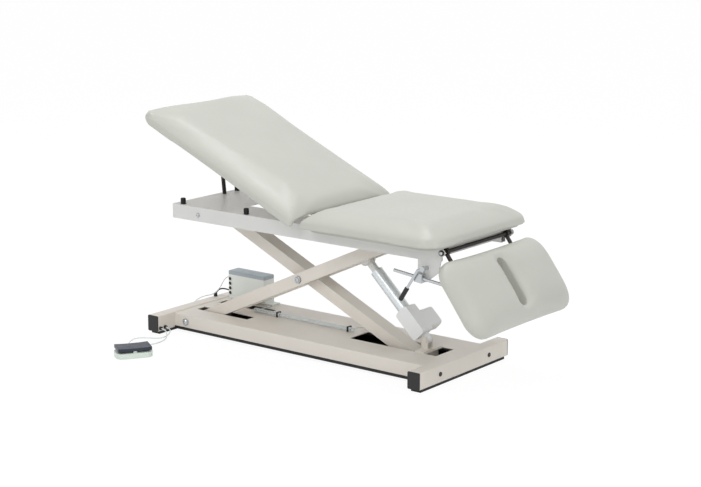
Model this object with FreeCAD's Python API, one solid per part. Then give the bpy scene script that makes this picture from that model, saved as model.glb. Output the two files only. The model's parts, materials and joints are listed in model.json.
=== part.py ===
import FreeCAD, Part
import math
import os

V = FreeCAD.Vector

# Power treatment table, millimetres. Origin: middle of the head floor strip's underside.
# +X runs to the drop section, -Y is the lever side, +Z is up. Rest pose: back raised, end dropped.

# Base
tube_length = 610.0
tube_width = 56.0
tube_height = 68.0
tube_wall = 3.0
tube_edge_radius = 5.0
foot_margin = 209.313
strip_height = 12.0
strip_width = 44.0
strip_end_inset = 16.0
cap_thickness = 4.0
cap_spigot = 18.0
slip_gap = 0.3
plug_radius = 9.0
plug_height = 2.5
plug_shank_radius = 6.0
plug_offset = 168.0
pan_half_width = 198.0
pan_top = 76.0
pan_sheet = 3.0
pan_flange_bottom = 20.0
pan_edge_radius = 5.0
trim_height = 12.0
trim_thickness = 6.0
bottom_sheet_low = 14.0
bottom_sheet = 3.0
bottom_sheet_gap = 5.0
head_slot_start = 60.0
head_slot_end = 346.0
mid_slot_back = 282.7
mid_slot_inset = 167.0
mid_slot_half = 62.0
rear_hole_far = 121.0
rear_hole_near = 67.0
leg_slot_gap = 7.0

# Scissor
pivot_x = 92.0
low_pivot_z = 45.0
leg_length = 1162.0
leg_angle = 24.7
leg_height = 50.0
outer_leg_inner_y = 52.0
outer_leg_outer_y = 90.0
inner_leg_half = 35.0
leg_wall = 3.0
pivot_radius = 10.0
running_gap = 0.05
shaft_head_radius = 15.0
shaft_head_height = 6.0
bush_radius = 16.0
roller_radius = 18.0
roller_width = 13.0
roller_axle_radius = 8.0
side_gap = 1.0
track_sheet = 5.0
track_floor_width = 21.0
low_track_back = 162.7
low_track_ahead = 64.3

# Actuator
ram_foot_inset = 154.0
ram_foot_z = 114.0
ram_eye_back = 273.0
ram_eye_drop = 18.0
ram_pin_radius = 7.0
foot_ear_sheet = 5.0
foot_ear_radius = 15.0
foot_plate_height = 5.0
foot_plate_length = 42.0
ram_eye_half = 11.5
ram_eye_radius = 17.0
ram_neck_half_depth = 12.0
ram_neck_length = 46.0
ram_rod_start = 40.0
ram_rod_radius = 16.0
ram_rod_spare = 55.0
ram_tube_start = 64.0
ram_tube_seat = 2.0
ram_tube_radius = 26.0
ram_tube_bore = 18.5
ram_bore_back = 43.0
gear_foot_gap = 23.6
gear_length = 131.0
gear_half_width = 31.0
gear_half_depth = 34.0
gear_edge_radius = 13.0
motor_half_depth = 30.0
motor_end_gap = 14.0
motor_length = 84.0
motor_reach = 92.0
motor_edge_radius = 15.0
motor_end_radius = 9.0
lift_slot_half = 12.0
lift_lug_sheet = 6.0
lift_lug_radius = 27.0
lift_tube_radius = 12.0
lift_tube_ahead = 34.0
washer_sheet = 3.0
washer_radius = 21.0

# Top frame
rail_outer_y = 230.0
rail_width = 30.0
rail_above_pivot = 25.938
rail_height = 57.5
rail_wall = 2.5
rail_start = 59.0
rail_end = 1412.0
deck_sheet = 2.5
deck_hole_half = 77.0
deck_hole_start = 347.0
hinge_plate_y = 195.0
deck_end_back = 36.0
cross_width = 30.0
cross_height = 40.0
cross_track_x = 900.0
cross_end_x = 1212.0
cross_foot_x = 1382.0
bumper_radius = 11.0
bumper_height = 25.0
bumper_near_x = 100.0
bumper_near_y = -209.0
bumper_far_x = 82.0
bumper_far_y = 150.0
bumper_mid_x = 452.0
bumper_mid_y = 213.0
pivot_plate_sheet = 6.0
pivot_plate_drop = 50.0
pivot_plate_end = 132.0
frame_bolt_x = 202.0
frame_bolt_drop = 30.5
frame_bolt_radius = 9.0
frame_bolt_height = 4.0
up_track_start = 930.0

# Pads
pad_half_width = 343.0
pad_thickness = 66.0
pad_lift = 11.5
pad_edge_roll = 33.0
pad_corner = 80.0
pad_end_corner = 30.0
pad_bow_share = 0.008
board_inset = 28.0
board_corner = 58.0
board_thickness = 12.0
board_gap = 0.3
seat_end = 1470.0
back_hinge_back = 15.0
back_hinge_lift = 5.5
back_angle = 24.0
back_gap = 23.0
back_start = -96.0
back_length = 885.0
back_thickness = 66.0
back_lift = 3.5
hinge_pin_radius = 8.0
hinge_eye_radius = 13.0
strap_inner_y = 150.0
strap_outer_y = 188.0
strap_length = 130.0
strap_sheet = 8.0
hinge_plate_sheet = 6.0
hinge_plate_back = 34.0
hinge_plate_drop = 34.5

# Stay post
stay_y = 62.0
stay_deck_x = 88.0
stay_lean = 5.8
stay_radius = 8.6
stay_tail_rise = 3.0
stay_head_gap = 4.5
stay_guide_half = 19.0
stay_channel_half = 17.0
stay_channel_sheet = 3.0
stay_channel_depth = 24.0
stay_channel_inset = 57.0
stay_channel_length = 196.0

# Drop section
drop_hinge_x = 1432.0
drop_hinge_drop = 18.5
drop_angle = 53.5
drop_gap = 42.0
drop_length = 322.0
drop_thickness = 70.0
nose_slot_width = 52.0
nose_slot_start = 52.0
nose_slot_end = 260.0
drop_rod_radius = 8.0
drop_strap_inner = 196.0
drop_strap_outer = 212.0
drop_strap_sheet = 8.0
gusset_sheet = 5.0
gusset_radius = 17.0
gusset_toe_back = 15.0
gusset_toe_rise = 25.0
gusset_tab = 22.0
clamp_x = 1340.0
clamp_drop = 105.0
clamp_pivot_radius = 8.0
clamp_block_half = 17.0
clamp_block_width = 22.0
link_eye_x = 1491.1
link_eye_drop = 16.48
link_tail_x = 1222.0
link_radius = 6.3
link_eye_radius = 12.0
link_slot_half = 9.0
link_pin_radius = 5.0
link_lug_sheet = 5.0
link_gap = 1.0
lever_screw_x = 1366.0
lever_screw_rise = 40.0
lever_bend_x = 1343.0
lever_bend_rise = 31.0
lever_end_x = 1264.0
lever_end_drop = 94.0
lever_radius = 5.5
lever_hub_radius = 11.0
grip_radius = 9.0
grip_length = 62.0

# Control box, foot switch and leads
box_start = 48.0
box_end = 258.0
plinth_end = 294.0
box_near_y = 120.0
box_far_y = 189.0
box_bottom = 84.0
box_top = 204.0
box_edge_radius = 8.0
box_lid_height = 16.0
socket_width = 26.0
socket_height = 20.0
socket_depth = 10.0
socket_gap = 11.0
switch_x = 167.0
switch_y = -592.0
switch_turn = 57.0
switch_length = 150.0
switch_width = 95.0
switch_base_height = 22.0
switch_corner = 30.0
rocker_length = 138.0
rocker_width = 82.0
rocker_waist = 62.0
rocker_height = 13.0
rocker_gap = 7.0
rocker_pin_radius = 3.0
rocker_ear_length = 14.0
hose_radius = 2.2
lead_radius = 3.2
grommet_radius = 8.0
grommet_length = 10.0
grommet_collar = 4.0
curl_outer_radius = 9.4
curl_wire_radius = 1.9
curl_pitch = 9.2
curl_start_x = 290.0
curl_y = 18.0
curl_lift = 0.6
curl_count = 58.5
curl_corners = 4
curl_lead_in = 8.0
curl_samples = 64
inlet_y = 190.0
clip_first_x = 419.0
clip_second_x = 796.0
clip_width = 8.0
clip_sheet = 2.0

corner_reach_share = 0.45
overrun = 5.0


# Shape helpers

def block(x0, x1, y0, y1, z0, z1):
    return Part.makeBox(x1 - x0, y1 - y0, z1 - z0, V(x0, y0, z0))


def rod(radius, start, end):
    return Part.makeCylinder(radius, (end - start).Length, start, end - start)


def cross_rod(radius, x, z, y0, y1):
    return rod(radius, V(x, y0, z), V(x, y1, z))


def plate(points, y0, y1):
    # A flat plate cut to an outline in the XZ plane.
    wire = Part.makePolygon([V(x, y0, z) for x, z in points] + [V(points[0][0], y0, points[0][1])])
    return Part.Face(wire).extrude(V(0, y1 - y0, 0))


def rounded(shape, radius, along):
    # Round the edges that run along one axis.
    picked = []
    for edge in shape.Edges:
        run = edge.Vertexes[-1].Point - edge.Vertexes[0].Point
        if run.Length > 0 and abs(run.normalize().dot(along)) > 0.999:
            picked.append(edge)
    return shape.makeFillet(radius, picked)


def both_sides(make):
    # The same piece on the near and the far side.
    return [make(-1.0), make(1.0)]


def span_y(side, inner, outer):
    return (side * outer, side * inner) if side < 0 else (side * inner, side * outer)


def side_block(side, x0, x1, inner, outer, z0, z1):
    low, high = span_y(side, inner, outer)
    return block(x0, x1, low, high, z0, z1)


def turned(shape, x, z, degrees):
    # Positive lifts what lies at +X of the axis.
    copy = shape.copy()
    copy.rotate(V(x, 0, z), V(0, -1, 0), degrees)
    return copy


def joined(shapes):
    whole = shapes[0]
    for shape in shapes[1:]:
        whole = whole.fuse(shape)
    return whole.removeSplitter()


def save(name, *shapes):
    flat = []
    for shape in shapes:
        flat.extend(shape if isinstance(shape, list) else [shape])
    whole = flat[0] if len(flat) == 1 else Part.makeCompound(flat)
    whole.exportStep("parts/" + name + ".step")


def pipe(wire, radius):
    start = wire.Edges[0]
    tangent = start.tangentAt(start.FirstParameter)
    disc = Part.Wire(Part.makeCircle(radius, start.valueAt(start.FirstParameter), tangent))
    return wire.makePipeShell([disc], True, False)


def cord(name, points, radius):
    # Straight runs joined by the largest arcs that the runs allow.
    knots = [V(*p) for p in points]
    edges = []
    radii = []
    last = knots[0]
    for before, corner, after in zip(knots, knots[1:], knots[2:]):
        back = before - corner
        ahead = after - corner
        reach = corner_reach_share * min(back.Length, ahead.Length)
        back.normalize()
        ahead.normalize()
        half_turn = (math.pi - back.getAngle(ahead)) / 2
        radii.append(reach / math.tan(half_turn))
        enter = corner + back * reach
        leave = corner + ahead * reach
        middle = (back + ahead).normalize()
        centre = corner + middle * (radii[-1] / math.cos(half_turn))
        through = centre - middle * radii[-1]
        edges.append(Part.LineSegment(last, enter).toShape())
        edges.append(Part.Arc(enter, through, leave).toShape())
        last = leave
    edges.append(Part.LineSegment(last, knots[-1]).toShape())
    wire = Part.Wire(edges)
    tube = pipe(wire, radius)
    ratio = tube.Volume / (math.pi * radius ** 2 * wire.Length)
    print(name, "length", round(wire.Length), "least radius", round(min(radii), 1), "volume ratio", round(ratio, 3))
    return tube


def pad_outline(x0, x1, half, z, corner, end_corner):
    # Rounded outline whose four sides draw in between the corners; end_corner rounds the x0 end.
    def arc(a, b, c):
        return Part.Arc(V(a[0], a[1], z), V(b[0], b[1], z), V(c[0], c[1], z)).toShape()

    mid = (x0 + x1) / 2
    r0 = end_corner
    r1 = corner
    side_bow = pad_bow_share * (x1 - x0 - r0 - r1)
    start_bow = pad_bow_share * 2 * (half - r0)
    end_bow = pad_bow_share * 2 * (half - r1)
    k = 1 - math.sqrt(0.5)
    return Part.Wire([
        arc((x0 + r0, -half), (mid, side_bow - half), (x1 - r1, -half)),
        arc((x1 - r1, -half), (x1 - r1 * k, -half + r1 * k), (x1, -half + r1)),
        arc((x1, -half + r1), (x1 - end_bow, 0), (x1, half - r1)),
        arc((x1, half - r1), (x1 - r1 * k, half - r1 * k), (x1 - r1, half)),
        arc((x1 - r1, half), (mid, half - side_bow), (x0 + r0, half)),
        arc((x0 + r0, half), (x0 + r0 * k, half - r0 * k), (x0, half - r0)),
        arc((x0, half - r0), (x0 + start_bow, 0), (x0, -half + r0)),
        arc((x0, -half + r0), (x0 + r0 * k, -half + r0 * k), (x0 + r0, -half)),
    ])


# Shares of the thickness and of the edge roll, from the sewn lower edge to the crown
crown_height_shares = [0.0, 0.22, 0.50, 0.76, 0.92, 1.0]
crown_inset_shares = [0.12, 0.0, 0.10, 0.45, 1.0, 2.0]


def pad(x0, x1, half, z0, thickness, corner, end_corner, edge_roll):
    outlines = []
    for height_share, inset_share in zip(crown_height_shares, crown_inset_shares):
        inset = edge_roll * inset_share
        outlines.append(pad_outline(x0 + inset, x1 - inset, half - inset, z0 + thickness * height_share,
                                    corner, end_corner))
    return Part.makeLoft(outlines, True, False)


os.makedirs("parts", exist_ok=True)

# Derived places
lean = math.radians(leg_angle)
half_length = tube_length / 2
tube_bottom = strip_height
tube_top = strip_height + tube_height
pan_start = tube_width / 2
high_pivot_z = low_pivot_z + leg_length * math.sin(lean)
slide_x = pivot_x + leg_length * math.cos(lean)
base_span = slide_x + foot_margin
pan_end = base_span - tube_width / 2
mid_slot_start = slide_x - mid_slot_back
mid_slot_end = base_span - mid_slot_inset
rear_hole_start = base_span - rear_hole_far
rear_hole_end = base_span - rear_hole_near
low_track_start = slide_x - low_track_back
low_track_end = slide_x + low_track_ahead
ram_foot_x = base_span - ram_foot_inset
ram_eye_reach = leg_length - ram_eye_back
rail_top = high_pivot_z + rail_above_pivot
rail_bottom = rail_top - rail_height
frame_bolt_z = rail_top - frame_bolt_drop
back_end = back_start + back_length
seat_start = back_end + back_gap
cross_back_x = seat_start
deck_end = seat_start - deck_end_back
pad_bottom = rail_top + pad_lift
back_hinge_x = seat_start - back_hinge_back
back_hinge_z = rail_top + back_hinge_lift
back_bottom = rail_top + back_lift
hinge_plate_start = seat_start - hinge_plate_back
hinge_plate_bottom = rail_top - hinge_plate_drop
stay_bottom = rail_bottom + stay_tail_rise
drop_hinge_z = rail_top - drop_hinge_drop
clamp_z = drop_hinge_z - clamp_drop
link_eye_z = clamp_z - link_eye_drop
lever_screw_z = clamp_z + lever_screw_rise
lever_bend_z = clamp_z + lever_bend_rise
lever_end_z = clamp_z - lever_end_drop
cross_x = (pivot_x + slide_x) / 2
cross_z = (low_pivot_z + high_pivot_z) / 2
deck_top = rail_top + deck_sheet
rail_inner_y = rail_outer_y - rail_width
print("upper pivot z", round(high_pivot_z, 2), "slide end x", round(slide_x, 2))


# Base tubes, strips, caps and plugs

def base_tube(x):
    low = half_length - cap_thickness
    outer = block(x - tube_width / 2, x + tube_width / 2, -low, low, tube_bottom, tube_top)
    outer = rounded(outer, tube_edge_radius, V(0, 1, 0))
    inside = block(x - tube_width / 2 + tube_wall, x + tube_width / 2 - tube_wall, -low - overrun, low + overrun,
                   tube_bottom + tube_wall, tube_top - tube_wall)
    return outer.cut(inside)


def tube_cap(x, side):
    low, high = span_y(side, half_length - cap_thickness, half_length)
    face = block(x - tube_width / 2, x + tube_width / 2, low, high, tube_bottom, tube_top)
    face = rounded(face, tube_edge_radius, V(0, 1, 0))
    inset = tube_wall + slip_gap
    spigot = side_block(side, x - tube_width / 2 + inset, x + tube_width / 2 - inset,
                        half_length - cap_thickness - cap_spigot, half_length - cap_thickness,
                        tube_bottom + inset, tube_top - inset)
    return face.fuse(spigot).removeSplitter()


def foot_plug(y):
    face_x = base_span + tube_width / 2
    mid_z = (tube_bottom + tube_top) / 2
    head = rod(plug_radius, V(face_x, y, mid_z), V(face_x + plug_height, y, mid_z))
    shank = rod(plug_shank_radius - running_gap, V(face_x - tube_wall, y, mid_z), V(face_x, y, mid_z))
    return head.fuse(shank).removeSplitter()


def plug_hole(y):
    face_x = base_span + tube_width / 2
    mid_z = (tube_bottom + tube_top) / 2
    return rod(plug_shank_radius, V(face_x - tube_wall - overrun, y, mid_z), V(face_x + overrun, y, mid_z))


foot_tube = base_tube(base_span)
for plug_y in (-plug_offset, plug_offset):
    foot_tube = foot_tube.cut(plug_hole(plug_y))
save("head_cross_tube", base_tube(0))
save("foot_cross_tube", foot_tube)
save("tube_end_caps", [tube_cap(x, side) for x in (0, base_span) for side in (-1.0, 1.0)],
     foot_plug(-plug_offset), foot_plug(plug_offset))
save("floor_strips", [block(x - strip_width / 2, x + strip_width / 2, strip_end_inset - half_length,
                            half_length - strip_end_inset, 0, strip_height) for x in (0, base_span)])

# Pan: a folded sheet cover with slots for the legs
pan = block(pan_start, pan_end, -pan_half_width, pan_half_width, pan_flange_bottom, pan_top)
pan = pan.makeFillet(pan_edge_radius, [e for e in pan.Edges if e.BoundBox.ZMin > pan_top - slip_gap
                                       and e.BoundBox.XLength > pan_half_width])
pan = pan.cut(block(pan_start - overrun, pan_end + overrun, pan_sheet - pan_half_width, pan_half_width - pan_sheet,
                    pan_flange_bottom - overrun, pan_top - pan_sheet))
for side in (-1.0, 1.0):
    pan = pan.cut(side_block(side, head_slot_start, head_slot_end, outer_leg_inner_y - leg_slot_gap,
                             outer_leg_outer_y + leg_slot_gap, pan_flange_bottom, pan_top + overrun))
pan = pan.cut(block(mid_slot_start, mid_slot_end, -mid_slot_half, mid_slot_half, pan_flange_bottom, pan_top + overrun))
pan = pan.cut(block(rear_hole_start, rear_hole_end, -mid_slot_half, mid_slot_half, pan_flange_bottom,
                    pan_top + overrun))
pan = pan.cut(cross_rod(pivot_radius + running_gap, pivot_x, low_pivot_z, -pan_half_width - overrun,
                        pan_half_width + overrun))
save("base_pan", pan)
save("pan_edge_trim", both_sides(lambda side: side_block(
    side, pan_start, pan_end, pan_half_width - (pan_sheet + trim_thickness) / 2,
    pan_half_width + (trim_thickness - pan_sheet) / 2, pan_flange_bottom - trim_height, pan_flange_bottom)))

bottom_half = pan_half_width - pan_sheet - bottom_sheet_gap
save("base_bottom_sheet", block(pan_start, pan_end, -bottom_half, bottom_half, bottom_sheet_low,
                                bottom_sheet_low + bottom_sheet))


def shaft_with_heads(x, z, half):
    shaft = cross_rod(pivot_radius, x, z, -half, half)
    heads = [cross_rod(shaft_head_radius, x, z, *span_y(side, half, half + shaft_head_height)) for side in (-1.0, 1.0)]
    return joined([shaft] + heads)


save("lower_pivot_shaft", shaft_with_heads(pivot_x, low_pivot_z, pan_half_width))

# Lower tracks hang from the pan on both sides of the middle slot
roller_inner = inner_leg_half + side_gap
roller_outer = roller_inner + roller_width
low_floor = low_pivot_z - roller_radius - slip_gap
track_wall_y = mid_slot_half


def lower_track(side):
    floor = side_block(side, low_track_start, low_track_end, roller_inner, track_wall_y + track_sheet,
                       low_floor - track_sheet, low_floor)
    wall = side_block(side, low_track_start, low_track_end, track_wall_y, track_wall_y + track_sheet,
                      low_floor, pan_top - pan_sheet)
    return floor.fuse(wall).removeSplitter()


save("lower_tracks", both_sides(lower_track))


# Scissor legs, in place at the rest lean

def leg_bar(x0, z0, degrees, y0, y1):
    # A box tube with round ends from the pivot at (x0, z0).
    length = leg_length
    straight = block(x0, x0 + length, y0, y1, z0 - leg_height / 2, z0 + leg_height / 2)
    solid = joined([straight, cross_rod(leg_height / 2, x0, z0, y0, y1),
                    cross_rod(leg_height / 2, x0 + length, z0, y0, y1)])
    hollow = block(x0, x0 + length, y0 + leg_wall, y1 - leg_wall, z0 - leg_height / 2 + leg_wall,
                   z0 + leg_height / 2 - leg_wall)
    boss = [cross_rod(bush_radius + leg_wall, x, z0, y0, y1) for x in (x0, x0 + length / 2, x0 + length)]
    solid = joined([solid.cut(hollow)] + boss)
    for share in (0, 0.5):
        solid = solid.cut(cross_rod(bush_radius, x0 + length * share, z0, y0 - overrun, y1 + overrun))
    solid = solid.cut(cross_rod(roller_axle_radius, x0 + length, z0, y0 - overrun, y1 + overrun))
    return turned(solid, x0, z0, degrees)


def bush(x, z, y0, y1):
    return cross_rod(bush_radius, x, z, y0, y1).cut(
        cross_rod(pivot_radius + running_gap, x, z, y0 - overrun, y1 + overrun))


def roller(x, z, y0, y1):
    return cross_rod(roller_radius, x, z, y0, y1).cut(
        cross_rod(roller_axle_radius, x, z, y0 - overrun, y1 + overrun))


low_y = outer_leg_inner_y
high_y = outer_leg_outer_y
eye_angle = lean - math.asin(ram_eye_drop / ram_eye_reach)
ram_eye_x = pivot_x + ram_eye_reach * math.cos(eye_angle)
ram_eye_z = low_pivot_z + ram_eye_reach * math.sin(eye_angle)
lift_tube_rise = ram_eye_drop + leg_height / 4
lift_tube_x = ram_eye_x + lift_tube_ahead * math.cos(lean) - lift_tube_rise * math.sin(lean)
lift_tube_z = ram_eye_z + lift_tube_ahead * math.sin(lean) + lift_tube_rise * math.cos(lean)
print("actuator eye", round(ram_eye_x, 2), round(ram_eye_z, 2))

save("outer_legs", [leg_bar(pivot_x, low_pivot_z, leg_angle, *span_y(side, low_y, high_y)) for side in (-1.0, 1.0)])
save("inner_leg", leg_bar(pivot_x, high_pivot_z, -leg_angle, -inner_leg_half, inner_leg_half))
save("outer_leg_bushes", [bush(x, z, *span_y(side, low_y, high_y)) for side in (-1.0, 1.0)
                          for x, z in ((pivot_x, low_pivot_z), (cross_x, cross_z))])
save("inner_leg_bushes", [bush(x, z, -inner_leg_half, inner_leg_half)
                          for x, z in ((pivot_x, high_pivot_z), (cross_x, cross_z))])
save("outer_leg_rollers", both_sides(lambda side: roller(
    slide_x, high_pivot_z, *span_y(side, high_y + side_gap, high_y + side_gap + roller_width))),
     cross_rod(roller_axle_radius, slide_x, high_pivot_z, -high_y - side_gap - roller_width,
               high_y + side_gap + roller_width))
save("inner_leg_rollers", both_sides(lambda side: roller(
    slide_x, low_pivot_z, *span_y(side, roller_inner, roller_outer))),
     cross_rod(roller_axle_radius, slide_x, low_pivot_z, -roller_outer, roller_outer))
save("centre_pivot_shaft", shaft_with_heads(cross_x, cross_z, high_y + side_gap))


# Lift tube and lug between the outer legs

def lug_plate(side):
    inner = ram_eye_half + side_gap
    low, high = span_y(side, inner, inner + lift_lug_sheet)
    disc = cross_rod(lift_lug_radius, ram_eye_x, ram_eye_z, low, high)
    top = cross_rod(lift_tube_radius + lift_lug_sheet, lift_tube_x, lift_tube_z, low, high)
    reach = V(lift_tube_x - ram_eye_x, 0, lift_tube_z - ram_eye_z)
    neck = block(ram_eye_x, ram_eye_x + reach.Length, low, high, ram_eye_z - lift_tube_radius - lift_lug_sheet,
                 ram_eye_z + lift_tube_radius + lift_lug_sheet)
    neck = turned(neck, ram_eye_x, ram_eye_z, math.degrees(math.atan2(reach.z, reach.x)))
    web = joined([disc, neck, top])
    web = web.cut(cross_rod(lift_tube_radius, lift_tube_x, lift_tube_z, low - overrun, high + overrun))
    return web.cut(cross_rod(ram_pin_radius + lift_slot_half, ram_eye_x, ram_eye_z, low - overrun, high + overrun))


save("lift_crossbar", cross_rod(lift_tube_radius, lift_tube_x, lift_tube_z, -low_y, low_y), both_sides(lug_plate))

# Actuator, worked out along its own axis from the eye (0) to the foot pin
ram_run = V(ram_foot_x - ram_eye_x, 0, ram_foot_z - ram_eye_z)
ram_length = ram_run.Length
ram_axis = V(ram_run).normalize()
ram_eye = V(ram_eye_x, 0, ram_eye_z)
ram_tilt = math.degrees(math.atan2(-ram_axis.z, ram_axis.x))
gear_end = ram_length - gear_foot_gap
gear_start = gear_end - gear_length
ram_tube_end = gear_start + ram_tube_seat
ram_bore_end = gear_end - ram_bore_back
ram_rod_length = ram_bore_end - ram_rod_spare
motor_end = gear_end - motor_end_gap
motor_start = motor_end - motor_length
print("actuator length", round(ram_length, 2), "tilt", round(ram_tilt, 2))


def along_ram(distance, y=0.0):
    return ram_eye + ram_axis * distance + V(0, y, 0)


def ram_block(start, end, y0, y1, half_depth):
    shape = block(ram_eye_x + start, ram_eye_x + end, y0, y1, ram_eye_z - half_depth, ram_eye_z + half_depth)
    return turned(shape, ram_eye_x, ram_eye_z, -ram_tilt)


ram_pin_half = ram_eye_half + side_gap + lift_lug_sheet + slip_gap + washer_sheet
rod_eye = cross_rod(ram_eye_radius, ram_eye_x, ram_eye_z, -ram_eye_half, ram_eye_half)
ram_neck = ram_block(0, ram_neck_length, -ram_eye_half, ram_eye_half, ram_neck_half_depth)
ram_shaft = rod(ram_rod_radius, along_ram(ram_rod_start), along_ram(ram_rod_length))
ram_rod = joined([ram_shaft, ram_neck, rod_eye]).cut(
    cross_rod(ram_pin_radius, ram_eye_x, ram_eye_z, -ram_eye_half - overrun, ram_eye_half + overrun))
washers = [cross_rod(washer_radius, ram_eye_x, ram_eye_z, *span_y(side, ram_pin_half - washer_sheet, ram_pin_half))
           for side in (-1.0, 1.0)]
save("actuator_rod", ram_rod, joined([cross_rod(ram_pin_radius, ram_eye_x, ram_eye_z, -ram_pin_half, ram_pin_half)]
                                     + washers))
save("actuator_tube", rod(ram_tube_radius, along_ram(ram_tube_start), along_ram(ram_tube_end)).cut(
    rod(ram_tube_bore, along_ram(ram_tube_start - overrun), along_ram(ram_tube_end + overrun))))
gear_box = block(ram_eye_x + gear_start, ram_eye_x + gear_end, -gear_half_width, gear_half_width,
                 ram_eye_z - gear_half_depth, ram_eye_z + gear_half_depth)
gear_box = rounded(gear_box, gear_edge_radius, V(0, 1, 0))
gear_box = turned(gear_box, ram_eye_x, ram_eye_z, -ram_tilt)
eye_neck = ram_block(gear_end - gear_edge_radius, ram_length, -ram_eye_half, ram_eye_half, ram_eye_radius)
eye_neck = joined([eye_neck, cross_rod(ram_eye_radius, ram_foot_x, ram_foot_z, -ram_eye_half, ram_eye_half)])
housing = joined([gear_box, eye_neck])
housing = housing.cut(rod(ram_tube_radius, along_ram(gear_start - overrun), along_ram(ram_tube_end)))
housing = housing.cut(rod(ram_tube_bore, along_ram(gear_start), along_ram(ram_bore_end)))
housing = housing.cut(cross_rod(ram_pin_radius + running_gap, ram_foot_x, ram_foot_z, -ram_eye_half - overrun,
                                ram_eye_half + overrun))
save("actuator_gearbox", housing)
motor = block(ram_eye_x + motor_start, ram_eye_x + motor_end, gear_half_width, gear_half_width + motor_reach,
              ram_eye_z - motor_half_depth, ram_eye_z + motor_half_depth)
motor = rounded(motor, motor_edge_radius, V(0, 1, 0))
motor = motor.makeFillet(motor_end_radius, [e for e in motor.Edges
                                            if e.BoundBox.YMin > gear_half_width + motor_reach - slip_gap])
motor = turned(motor, ram_eye_x, ram_eye_z, -ram_tilt)
save("actuator_motor", motor)

ear_low = ram_eye_half + side_gap


def foot_ear(side):
    low, high = span_y(side, ear_low, ear_low + foot_ear_sheet)
    leg = block(ram_foot_x - foot_ear_radius, ram_foot_x + foot_ear_radius, low, high, pan_top + foot_plate_height,
                ram_foot_z)
    return joined([leg, cross_rod(foot_ear_radius, ram_foot_x, ram_foot_z, low, high)])


foot_bracket = joined([block(mid_slot_end, mid_slot_end + foot_plate_length, -mid_slot_half, mid_slot_half, pan_top,
                             pan_top + foot_plate_height), foot_ear(-1.0), foot_ear(1.0)])
foot_pin_half = ear_low + foot_ear_sheet
foot_bracket = foot_bracket.cut(cross_rod(ram_pin_radius + running_gap, ram_foot_x, ram_foot_z,
                                          -foot_pin_half - overrun, foot_pin_half + overrun))
foot_pin_heads = [cross_rod(ram_pin_radius + washer_sheet, ram_foot_x, ram_foot_z,
                            *span_y(side, foot_pin_half, foot_pin_half + washer_sheet)) for side in (-1.0, 1.0)]
save("actuator_foot_mount", foot_bracket, joined(
    [cross_rod(ram_pin_radius, ram_foot_x, ram_foot_z, -foot_pin_half, foot_pin_half)] + foot_pin_heads))


# Top frame

def side_rail(side):
    outer = side_block(side, rail_start, rail_end, rail_inner_y, rail_outer_y, rail_bottom, rail_top)
    inside = side_block(side, rail_start - overrun, rail_end + overrun, rail_inner_y + rail_wall,
                        rail_outer_y - rail_wall, rail_bottom + rail_wall, rail_top - rail_wall)
    return outer.cut(inside)


def cross_rail(x):
    outer = block(x, x + cross_width, -rail_inner_y, rail_inner_y, rail_top - cross_height, rail_top)
    inside = block(x + rail_wall, x + cross_width - rail_wall, -rail_inner_y - overrun, rail_inner_y + overrun,
                   rail_top - cross_height + rail_wall, rail_top - rail_wall)
    return outer.cut(inside)


stay_tilt = math.radians(stay_lean)
stay_axis = V(-math.sin(stay_tilt), 0, math.cos(stay_tilt))


def on_stay(z):
    return V(stay_deck_x - (z - deck_top) * math.tan(stay_tilt), stay_y, z)


head_plate = block(rail_start, rail_start + rail_wall, -rail_inner_y, rail_inner_y, rail_bottom, rail_top)
guide = block(rail_start + rail_wall, stay_deck_x + stay_guide_half, stay_y - stay_guide_half,
              stay_y + stay_guide_half, rail_bottom, rail_top)
guide = guide.cut(rod(stay_radius + running_gap, on_stay(rail_bottom - overrun), on_stay(deck_top + overrun)))
head_plate = head_plate.cut(rod(stay_radius + side_gap, on_stay(rail_bottom - overrun), on_stay(deck_top + overrun)))
save("frame_side_rails", both_sides(side_rail))
save("frame_cross_rails", [cross_rail(x) for x in (cross_back_x, cross_track_x, cross_end_x, cross_foot_x)])
save("frame_head_plate", head_plate, guide)
deck = block(rail_start, deck_end, -rail_outer_y, rail_outer_y, rail_top, deck_top)
deck = deck.cut(block(deck_hole_start, deck_end + overrun, -deck_hole_half, deck_hole_half, rail_top - overrun,
                      deck_top + overrun))
deck = deck.cut(rod(stay_radius + side_gap, on_stay(rail_bottom), on_stay(deck_top + overrun)))
save("deck_plate", deck)
bumper_places = [(bumper_near_x, bumper_near_y), (bumper_far_x, bumper_far_y), (bumper_mid_x, -bumper_mid_y),
                 (bumper_mid_x, bumper_mid_y)]
save("deck_bumpers", [rod(bumper_radius, V(x, y, deck_top), V(x, y, deck_top + bumper_height))
                      for x, y in bumper_places])


def upper_track(side):
    floor_top = high_pivot_z - roller_radius - slip_gap
    inner = high_y + side_gap
    outer = inner + track_floor_width
    floor = side_block(side, up_track_start, cross_end_x, inner, outer, floor_top - track_sheet, floor_top)
    wall = side_block(side, up_track_start, cross_end_x, outer - track_sheet, outer, floor_top, rail_top)
    return floor.fuse(wall).removeSplitter()


def pivot_plate(side):
    inner = inner_leg_half + side_gap
    outline = [(rail_start + rail_wall, rail_top), (pivot_plate_end, rail_top),
               (pivot_plate_end, high_pivot_z - pivot_radius), (pivot_x + shaft_head_radius, rail_top - pivot_plate_drop),
               (rail_start + rail_wall, rail_top - pivot_plate_drop)]
    low, high = span_y(side, inner, inner + pivot_plate_sheet)
    return plate(outline, low, high).cut(
        cross_rod(pivot_radius + running_gap, pivot_x, high_pivot_z, low - overrun, high + overrun))


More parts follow.
